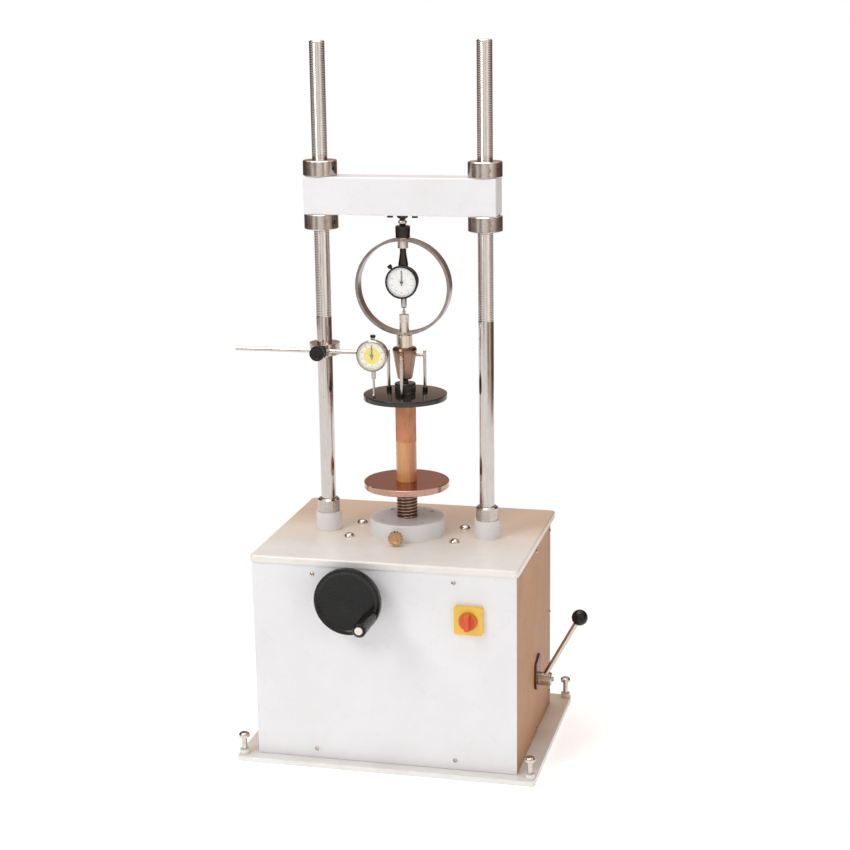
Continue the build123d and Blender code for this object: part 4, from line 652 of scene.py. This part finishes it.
# Domed bolts on the top plate, and socket heads sunk in the flange
print("fasteners")
domeLook = {"radius": 10, "rise": 7, "seat": 394, "start": 8, "rings": 9}
domeAngles = np.linspace(radians(domeLook["start"]), pi / 2, domeLook["rings"])
domeHeights = domeLook["seat"] + domeLook["rise"] * np.sin(domeAngles)
domeWall = np.stack([domeLook["radius"] * np.cos(domeAngles), domeHeights], axis=1)
turnedPiece("domed_bolts", {
    "body": "frame", "slot": "bright_steel", "finish": nickelPlate, "stands": ["gearbox_bolts"],
    "rounding": 0, "turns": 40, "places": [(x, y, 0) for x in (-100, 100) for y in (-45, 45)],
    "outline": [(0, 366.5), (5, 366.5), (5, 394), (10, 394), *domeWall],
})

socketLook = {"within": 2.95, "above": 414, "circle": 53, "first": 45, "count": 4}


def hexSocket(angle, height, radius):
    # Only the socket's wall, the narrowest part above the shank, is drawn in to a hexagon
    inSocket = (radius < socketLook["within"]) & (height > socketLook["above"])
    return hexagon(angle, height, radius) * inSocket


turnedPiece("socket_screws", {
    "body": "frame", "slot": "black_oxide", "finish": blackedSteel, "stands": ["flange_screws"], "turns": 36,
    "places": onCircle(socketLook),
    "outline": [(0, 386), (3, 386), (3, 414), (5, 414), (5, 420), (2.9, 420), (2.9, 417), (0, 417)],
    "rounding": 0.4, "relief": hexSocket,
})

# Panel screws: low domes with a cross recess
screwLook = {
    "body": "frame", "slot": "bright_steel", "finish": nickelPlate, "stands": ["panel_screws"], "sharp": 25,
    "radius": 4.2, "rise": 2.6, "roundness": 0.92, "shank": 2.2, "length": 8,
    "crossWidth": 1.1, "crossReach": 2.6, "crossDepth": 1.3, "rings": 9, "turns": 32,
    "frontX": 130, "frontHeights": (28, 364), "sideY": 8, "sideHeights": (17, 369),
    "edgeY": 150, "edgeHeights": (38, 202, 366),
}


def screwGrid(origin, facing, look):
    # Height over the seat: a low dome, less the cross depth where |x| or |y| is under half the cross width
    radius = np.linspace(look["radius"], 0, look["rings"])[:, None]
    angle = np.linspace(0, 2 * pi, look["turns"], endpoint=False)[None, :]
    x, y = radius * np.cos(angle), radius * np.sin(angle)
    dome = look["rise"] * np.sqrt(1 - look["roundness"] * (radius / look["radius"]) ** 2) + 0 * x
    arm = (np.minimum(np.abs(x), np.abs(y)) < look["crossWidth"] / 2) & (radius < look["crossReach"])
    head = np.stack([x, y, dome - look["crossDepth"] * arm], axis=-1)
    rim = np.stack([x[0], y[0], 0 * x[0]], axis=-1)
    narrow = look["shank"] / look["radius"]
    under = rim * [narrow, narrow, 1]
    end = under - [0, 0, look["length"]]
    return placed(np.concatenate([[end * [0, 0, 1], end, under, rim], head]), origin, facing)


sideEnd = span("right_panel")[1][0]
frontEnd, backEnd = span("front_panel")[0][1], span("rear_panel")[1][1]
screwGrids = []
for x in (-screwLook["frontX"], screwLook["frontX"]):
    for z in screwLook["frontHeights"]:
        screwGrids.append(screwGrid((x, frontEnd, z), "front", screwLook))
        screwGrids.append(screwGrid((x, backEnd, z), "back", screwLook))
sidePlaces = [(screwLook["sideY"], z) for z in screwLook["sideHeights"]]
sidePlaces += [(screwLook["edgeY"], z) for z in screwLook["edgeHeights"]]
for y, z in sidePlaces:
    screwGrids.append(screwGrid((sideEnd, y, z), "right", screwLook))
    screwGrids.append(screwGrid((-sideEnd, y, z), "left", screwLook))
makePiece("cross_screws", screwLook, screwGrids)

# Isolator knob: a round skirt with a soft-edged grip across it
print("isolator")
isolatorLook = {
    "body": "isolator", "slot": "switch_red", "finish": redPlastic, "stands": ["isolator_knob"],
    "place": (157.5, 0, 297.5), "start": 195.8, "radius": 16.5, "skirt": 5, "height": 18, "gripHalf": 4.5,
    "gripReach": 15.5, "gripSoft": 1.2, "endSoft": 1.4, "rounding": 1, "rimStep": 0.3,
    "stem": 4, "stemDepth": 10.3, "rings": 30, "turns": 120,
}


def isolatorGrid(look):
    # Height at x, y: the skirt with its rounded edge, plus the grip where |x| is inside its half width,
    # falling off smoothly at its sides and ends
    rounding = look["rounding"]
    rings = np.linspace(0, look["radius"] - rounding, look["rings"])
    radius = np.concatenate([rings, [look["radius"] - look["rimStep"], look["radius"]]])[::-1][:, None]
    angle = np.linspace(0, 2 * pi, look["turns"], endpoint=False)[None, :]
    x, y = radius * np.cos(angle), radius * np.sin(angle)
    bar = np.clip((look["gripHalf"] + look["gripSoft"] / 2 - np.abs(x)) / look["gripSoft"], 0, 1)
    bar = bar * np.clip((look["gripReach"] - np.hypot(x, y)) / look["endSoft"], 0, 1)
    bar = bar * bar * (3 - 2 * bar)
    edge = np.clip(look["radius"] - radius, 0, rounding)
    skirt = look["skirt"] - rounding + np.sqrt(rounding ** 2 - (rounding - edge) ** 2)
    cap = np.stack([x, y, look["start"] + skirt + (look["height"] - look["skirt"]) * bar], axis=-1)
    foot = np.stack([x[0], y[0], 0 * x[0] + look["start"]], axis=-1)
    narrow = look["stem"] / look["radius"]
    stem = foot * [narrow, narrow, 1]
    end = stem - [0, 0, look["stemDepth"]]
    return placed(np.concatenate([[end * [0, 0, 1], end, stem, foot], cap]), look["place"], "front")


makePiece("isolator_grip", isolatorLook, [isolatorGrid(isolatorLook)])

# Dials: card, ticks, numbers, crystal and milled bezel, each a hair above the one below
print("dials")


def tickMesh(name, look):
    # Each tick is a thin quad from the scale's outer radius inwards, longer at every fifth and tenth
    step = np.arange(look["ticks"])
    angle = step * 2 * pi / look["ticks"]
    fifth, tenth = step % look["midStep"] == 0, step % look["longStep"] == 0
    length = np.where(tenth, look["longTick"], np.where(fifth, look["midTick"], look["tick"]))
    half = np.where(tenth, look["boldTick"], look["fineTick"])
    out = np.stack([np.sin(angle), np.cos(angle)], axis=1)
    side = np.stack([np.cos(angle), -np.sin(angle)], axis=1) * half[:, None]
    near, far = out * (look["tickOuter"] - length)[:, None], out * look["tickOuter"]
    flat = np.stack([near + side, far + side, far - side, near - side], axis=1)
    level = look["level"] + look["tickRise"]
    local = np.concatenate([flat, np.full((look["ticks"], 4, 1), level)], axis=2)
    mesh = bpy.data.meshes.new(name)
    points = placed(local, look["place"], "front").reshape(-1, 3)
    mesh.from_pydata(points, [], np.arange(len(points)).reshape(-1, 4))
    return mesh


def numberMesh(name, look):
    # Generic scale numbers, upright, each at its own angle
    work = bmesh.new()
    for value in look["numbers"]:
        angle = 2 * pi * value / look["fullScale"]
        curve = bpy.data.curves.new(name, "FONT")
        curve.body = str(value)
        curve.size = look["numberSize"] * mm
        curve.align_x = "CENTER"
        curve.align_y = "CENTER"
        text = bpy.data.objects.new(name, curve)
        bpy.context.scene.collection.objects.link(text)
        bpy.context.view_layer.update()
        mesh = bpy.data.meshes.new_from_object(text.evaluated_get(bpy.context.evaluated_depsgraph_get()))
        bpy.data.objects.remove(text)
        x, y, z = look["place"]
        reach, level = look["numberReach"], look["level"] + look["numberRise"]
        at = Vector((x + reach * sin(angle), y - level, z + reach * cos(angle))) * mm
        mesh.transform(Matrix.Translation(at) @ Matrix.Rotation(pi / 2, 4, "X"))
        work.from_mesh(mesh)
        bpy.data.meshes.remove(mesh)
    whole = bpy.data.meshes.new(name)
    work.to_mesh(whole)
    work.free()
    return whole


def dialCard(name, look):
    # Printed card: matt ink on fibrous card, one colour in the middle and another in the ring round it
    inner, outer = (look["middle"] - look["blend"]) * mm, (look["middle"] + look["blend"]) * mm
    return makeFinish(name + " printed card", {
        "colour": look["middleColour"],
        "patterns": {
            "reach": {"centre": look["place"], "across": (1, 0, 1)}, "fibres": {"size": (1.5, 1.5, 1.5)},
        },
        "layers": [("reach", inner, outer, 1.0, look["ringColour"]), ("fibres", 0.4, 0.8, 0.08, "#B9AE9A")],
        "roughness": ("fibres", 0.3, 0.8, 0.5, 0.6),
        "bumps": [("fibres", 0.01)],
    })


def makeDial(name, look):
    # Card, ticks and numbers on it, a domed crystal over them, and the milled bezel round it all
    base = {"body": look["body"], "slot": look["slot"], "facing": "front", "places": [look["place"]]}
    level, front, card = look["level"], look["front"], look["card"]
    under, over = level - look["cardUnder"], level + look["cardOver"]
    turnedPiece(name + "_card", {
        **base, "finish": dialCard(name, look), "rounding": 0, "turns": 64,
        "outline": [(0, under), (card, under), (card, over), (0, over)],
    })
    dressed(addObject(name + "_ticks", tickMesh(name, look), greyInk), base)
    dressed(addObject(name + "_numbers", numberMesh(name, look), greyInk), base)
    bulge = np.linspace(1, 0, look["domeRings"])
    dome = np.stack([card * bulge, front - look["domeRise"] * bulge ** 2], axis=1)
    inside = front - look["crystalDepth"]
    turnedPiece(name + "_crystal", {
        **base, "finish": crystal, "rounding": 0, "turns": 64,
        "outline": np.vstack([[(0, inside), (card, inside)], dome]),
    })
    rim, back = look["bezel"] + look["bezelOver"], front - look["bezelDepth"]
    outline = softened([
        (card + 0.2, back + 2), (card + 0.2, front - 0.6), (card + 0.8, front), (rim - 1.4, front),
        (rim, front - 1.2), (rim, front - 2.4), (rim, back + 1), (rim, back),
        (rim - 0.8, back), (rim - 1, back + 2),
    ], look["bezelRounding"])
    turnedPiece(name + "_bezel", {
        **base, "finish": look["bezelFinish"], "rounding": 0, "turns": 240,
        "outline": np.vstack([outline, outline[:1]]),
        "relief": knurled({"rim": rim, "from": back + 0.6, "to": front - 1.8, "ridges": 80, "depth": 0.22}),
    })


dialLook = {
    "ticks": 100, "tick": 2.0, "midTick": 2.8, "longTick": 3.6, "midStep": 5, "longStep": 10,
    "fineTick": 0.15, "boldTick": 0.24, "tickRise": 0.12, "numberRise": 0.14,
    "numbers": range(0, 100, 10), "fullScale": 100, "numberSize": 3.8, "blend": 0.6,
    "cardUnder": 0.3, "cardOver": 0.1, "domeRings": 8, "domeRise": 0.9, "crystalDepth": 1.1,
    "bezelOver": 0.25, "bezelRounding": 0.35,
}
makeDial("ring_dial", {
    **dialLook, "body": "crosshead", "slot": "gauge_body", "place": (0, 0, 868), "level": 14, "front": 18,
    "card": 26.9, "bezel": 30, "bezelDepth": 6, "bezelFinish": phenolic, "tickOuter": 25.6,
    "numberReach": 19, "middle": 8, "middleColour": "#F4F2EF", "ringColour": "#F7F6F3",
})
makeDial("gauge_dial", {
    **dialLook, "body": "gauge", "slot": "gauge_silver", "place": (-47, 0, 739.5), "level": 56, "front": 60,
    "card": 25.4, "bezel": 28.5, "bezelDepth": 7, "bezelFinish": nickelPlate, "tickOuter": 24.4,
    "numberReach": 18.6, "middle": 15.5, "middleColour": "#F6E23A", "ringColour": "#F9F6E6",
})

# Small parts of the gauges: bezel lock, bright stem, holder's taper, black cap on the plunger's top
lockAngle = radians(128)
lockOut = Vector((cos(lockAngle), 0, sin(lockAngle)))
lockFacing = [(0, 1, 0), tuple(lockOut.cross(Vector((0, 1, 0)))), tuple(lockOut)]
turnedPiece("bezel_lock", {
    "body": "crosshead", "slot": "gauge_body", "finish": phenolic, "facing": lockFacing,
    "places": [(0, -13, 868)], "outline": [(0, 29), (2, 29), (2, 32), (4.2, 32), (4.2, 38.5), (0, 38.5)],
    "relief": knurled({"rim": 4.2, "from": 32.2, "to": 38.3, "ridges": 18, "depth": 0.35}),
})
turnedPiece("dial_stem", {
    "body": "crosshead", "slot": "bright_steel", "finish": nickelPlate, "turns": 32,
    "outline": [(2.3, 819.8), (4.2, 819.8), (5.25, 822), (5.25, 843), (2.3, 843)],
})
turnedPiece("dial_holder", {
    "body": "crosshead", "slot": "gauge_body", "finish": blackedSteel, "turns": 40, "rounding": 0.8,
    "outline": [(5.3, 893), (9, 893), (9, 899), (5.9, 919), (5.9, 926), (5.3, 926)],
})
turnedPiece("stem_cap", {
    "body": "gauge_spindle", "slot": "hand_black", "finish": phenolic, "places": [(-47, -46, 0)], "turns": 32,
    "outline": [(0, 771), (4.2, 771), (5, 772), (5, 775.5), (3.6, 776), (0, 776)],
})

# Camera where the photograph was taken
print("camera, light and floor")
cameraLook = {
    "place": (0.80566, -3.13298, 1.37757), "azimuth": 13.797, "elevation": 13.523, "roll": -0.797,
    "focal": 1803.7, "frame": 850, "sensor": 36,
}


def placeCamera(look):
    # Forward from azimuth and elevation, then right and up turned by the roll; focal length is in pixels
    azimuth, elevation, roll = (radians(look[name]) for name in ("azimuth", "elevation", "roll"))
    forward = Vector((-sin(azimuth) * cos(elevation), cos(azimuth) * cos(elevation), -sin(elevation)))
    right = forward.cross(Vector((0, 0, 1))).normalized()
    up = right.cross(forward)
    axes = Matrix((right * cos(roll) + up * sin(roll), up * cos(roll) - right * sin(roll), -forward))
    camera = bpy.data.cameras.new("camera")
    camera.sensor_width = look["sensor"]
    camera.lens = look["focal"] * look["sensor"] / look["frame"]
    holder = bpy.data.objects.new("camera", camera)
    bpy.context.scene.collection.objects.link(holder)
    holder.matrix_world = Matrix.Translation(look["place"]) @ axes.transposed().to_4x4()
    bpy.context.scene.camera = holder


placeCamera(cameraLook)

# Lamps: places and sizes in metres, power in watts, all aimed at the middle of the machine
lampAim = Vector((0, 0, 0.6))
lightLook = {
    "key": {"place": (-1.7, -2.6, 2.9), "size": 1.6, "power": 44, "colour": "#FFFFFF"},
    "fill": {"place": (2.6, -2.2, 1.7), "size": 2.2, "power": 14, "colour": "#FFF8F0"},
    "top": {"place": (-0.3, 0.2, 3.4), "size": 2.4, "power": 50, "colour": "#FFFFFF"},
}
for name, look in lightLook.items():
    light = bpy.data.lights.new(name, "AREA")
    light.shape = "DISK"
    light.size = look["size"]
    light.energy = look["power"]
    light.color = linear(look["colour"])[:3]
    lamp = bpy.data.objects.new(name, light)
    bpy.context.scene.collection.objects.link(lamp)
    turn = (lampAim - Vector(look["place"])).to_track_quat("-Z", "Y")
    lamp.matrix_world = Matrix.Translation(look["place"]) @ turn.to_matrix().to_4x4()


def seenRays(tree):
    # 1 for the camera, a mirror finish and glass, 0 for the rays that light the object
    rays = ("Is Camera Ray", "Is Glossy Ray", "Is Transmission Ray")
    camera, glossy, through = (addNode(tree, "LightPath", {}, ray) for ray in rays)
    both = addNode(tree, "Math", {0: camera, 1: glossy}, operation="MAXIMUM")
    return addNode(tree, "Math", {0: both, 1: through}, operation="MAXIMUM")


def makeWorld(soft):
    # White wherever it is seen, a plain soft level for the light that falls on the object
    world = bpy.data.worlds.new("studio")
    bpy.context.scene.world = world
    world.use_nodes = True
    tree = world.node_tree
    tree.nodes.clear()
    plain = addNode(tree, "Background", {"Color": "#FFFFFF", "Strength": soft})
    white = addNode(tree, "Background", {"Color": "#FFFFFF", "Strength": 1.0})
    both = addNode(tree, "MixShader", {0: seenRays(tree), 1: plain, 2: white})
    addNode(tree, "OutputWorld", {"Surface": both})


makeWorld(0.38)


def stageMaterial(name):
    # An empty material and its tree, for what stands round the object
    material = bpy.data.materials.new(name)
    material.use_nodes = True
    material.node_tree.nodes.clear()
    return material, material.node_tree


def stageRing(name, material, rings, turns):
    # A surface of rings (radius, height in metres) for the floor or the studio wall
    outline = np.array(rings, float)[:, None, :]
    angle = np.linspace(0, 2 * pi, turns, endpoint=False)[None, :]
    points = np.stack([outline[..., 0] * np.cos(angle), outline[..., 0] * np.sin(angle),
                       outline[..., 1] + 0 * angle], axis=-1)
    mesh = bpy.data.meshes.new(name)
    mesh.from_pydata(points.reshape(-1, 3), [], gridQuads(len(rings), turns))
    ring = addObject(name, mesh, material)
    return ring


def makeFloor(look):
    # Pale floor that keeps the object's shadow near it and turns to the backdrop's white further out
    material, tree = stageMaterial("pale studio floor")
    place = addNode(tree, "TexCoord", {}, "Object")
    reach = addNode(tree, "VectorMath", {0: place}, "Value", operation="LENGTH")
    grain = addNode(tree, "TexNoise", {"Vector": place, "Scale": 1 / (look["grain"] * mm), "Detail": 2})
    tone = addNode(tree, "Mix", {0: grain, 6: look["colour"], 7: look["shade"]}, 2, data_type="RGBA")
    away = addNode(tree, "MapRange", {0: reach, 1: look["near"], 2: look["far"], 3: 0.0, 4: 1.0})
    matt = addNode(tree, "BsdfPrincipled", {
        "Base Color": tone, "Roughness": 0.8, "Emission Color": "#FFFFFF", "Emission Strength": look["lift"],
    })
    white = addNode(tree, "Emission", {"Color": "#FFFFFF", "Strength": 1.0})
    share = addNode(tree, "Math", {0: away, 1: seenRays(tree)}, operation="MULTIPLY")
    both = addNode(tree, "MixShader", {0: share, 1: matt, 2: white})
    addNode(tree, "OutputMaterial", {"Surface": both})
    reaches = (0, look["near"], look["far"], look["edge"])
    stageRing("floor", material, [(radius, 0) for radius in reaches], look["turns"])


makeFloor({
    "near": 0.45, "far": 0.9, "edge": 40, "turns": 64, "grain": 4, "lift": 0.42,
    "colour": "#F6F6F6", "shade": "#F2F2F2",
})


def makeStudioWall(look):
    # A wall that only mirror finishes see: its bands give chrome its bright and brown stripes.
    # Places on the ramp: 0 is the left, 0.25 the front, 0.5 the right and 0.75 the back
    material, tree = stageMaterial("banded studio wall")
    place = addNode(tree, "TexCoord", {}, "Object")
    around = addNode(tree, "TexGradient", {"Vector": place}, gradient_type="RADIAL")
    band = addNode(tree, "ValToRGB", {0: around}, stops=look["bands"])
    glow = addNode(tree, "Emission", {"Color": band, "Strength": 1.0})
    addNode(tree, "OutputMaterial", {"Surface": glow})
    rings = [(look["radius"], 0), (look["radius"], look["high"])]
    wall = stageRing("studio_wall", material, rings, look["turns"])
    for way in ("camera", "diffuse", "shadow", "transmission", "volume_scatter"):
        setattr(wall, "visible_" + way, False)


makeStudioWall({"radius": 4.5, "high": 4.5, "turns": 96, "bands": [
    (0.0, "#6E5E58"), (0.1, "#8A7A72"), (0.15, "#F4F0EC"), (0.2, "#8C7C74"), (0.24, "#FFFFFF"),
    (0.31, "#F2ECE6"), (0.37, "#8A7268"), (0.43, "#DCCCC0"), (0.52, "#6E5A50"), (0.66, "#5A4640"),
    (0.76, "#C2A698"), (0.88, "#5C4A45"),
]})

bpy.context.scene.view_settings.view_transform = "Standard"
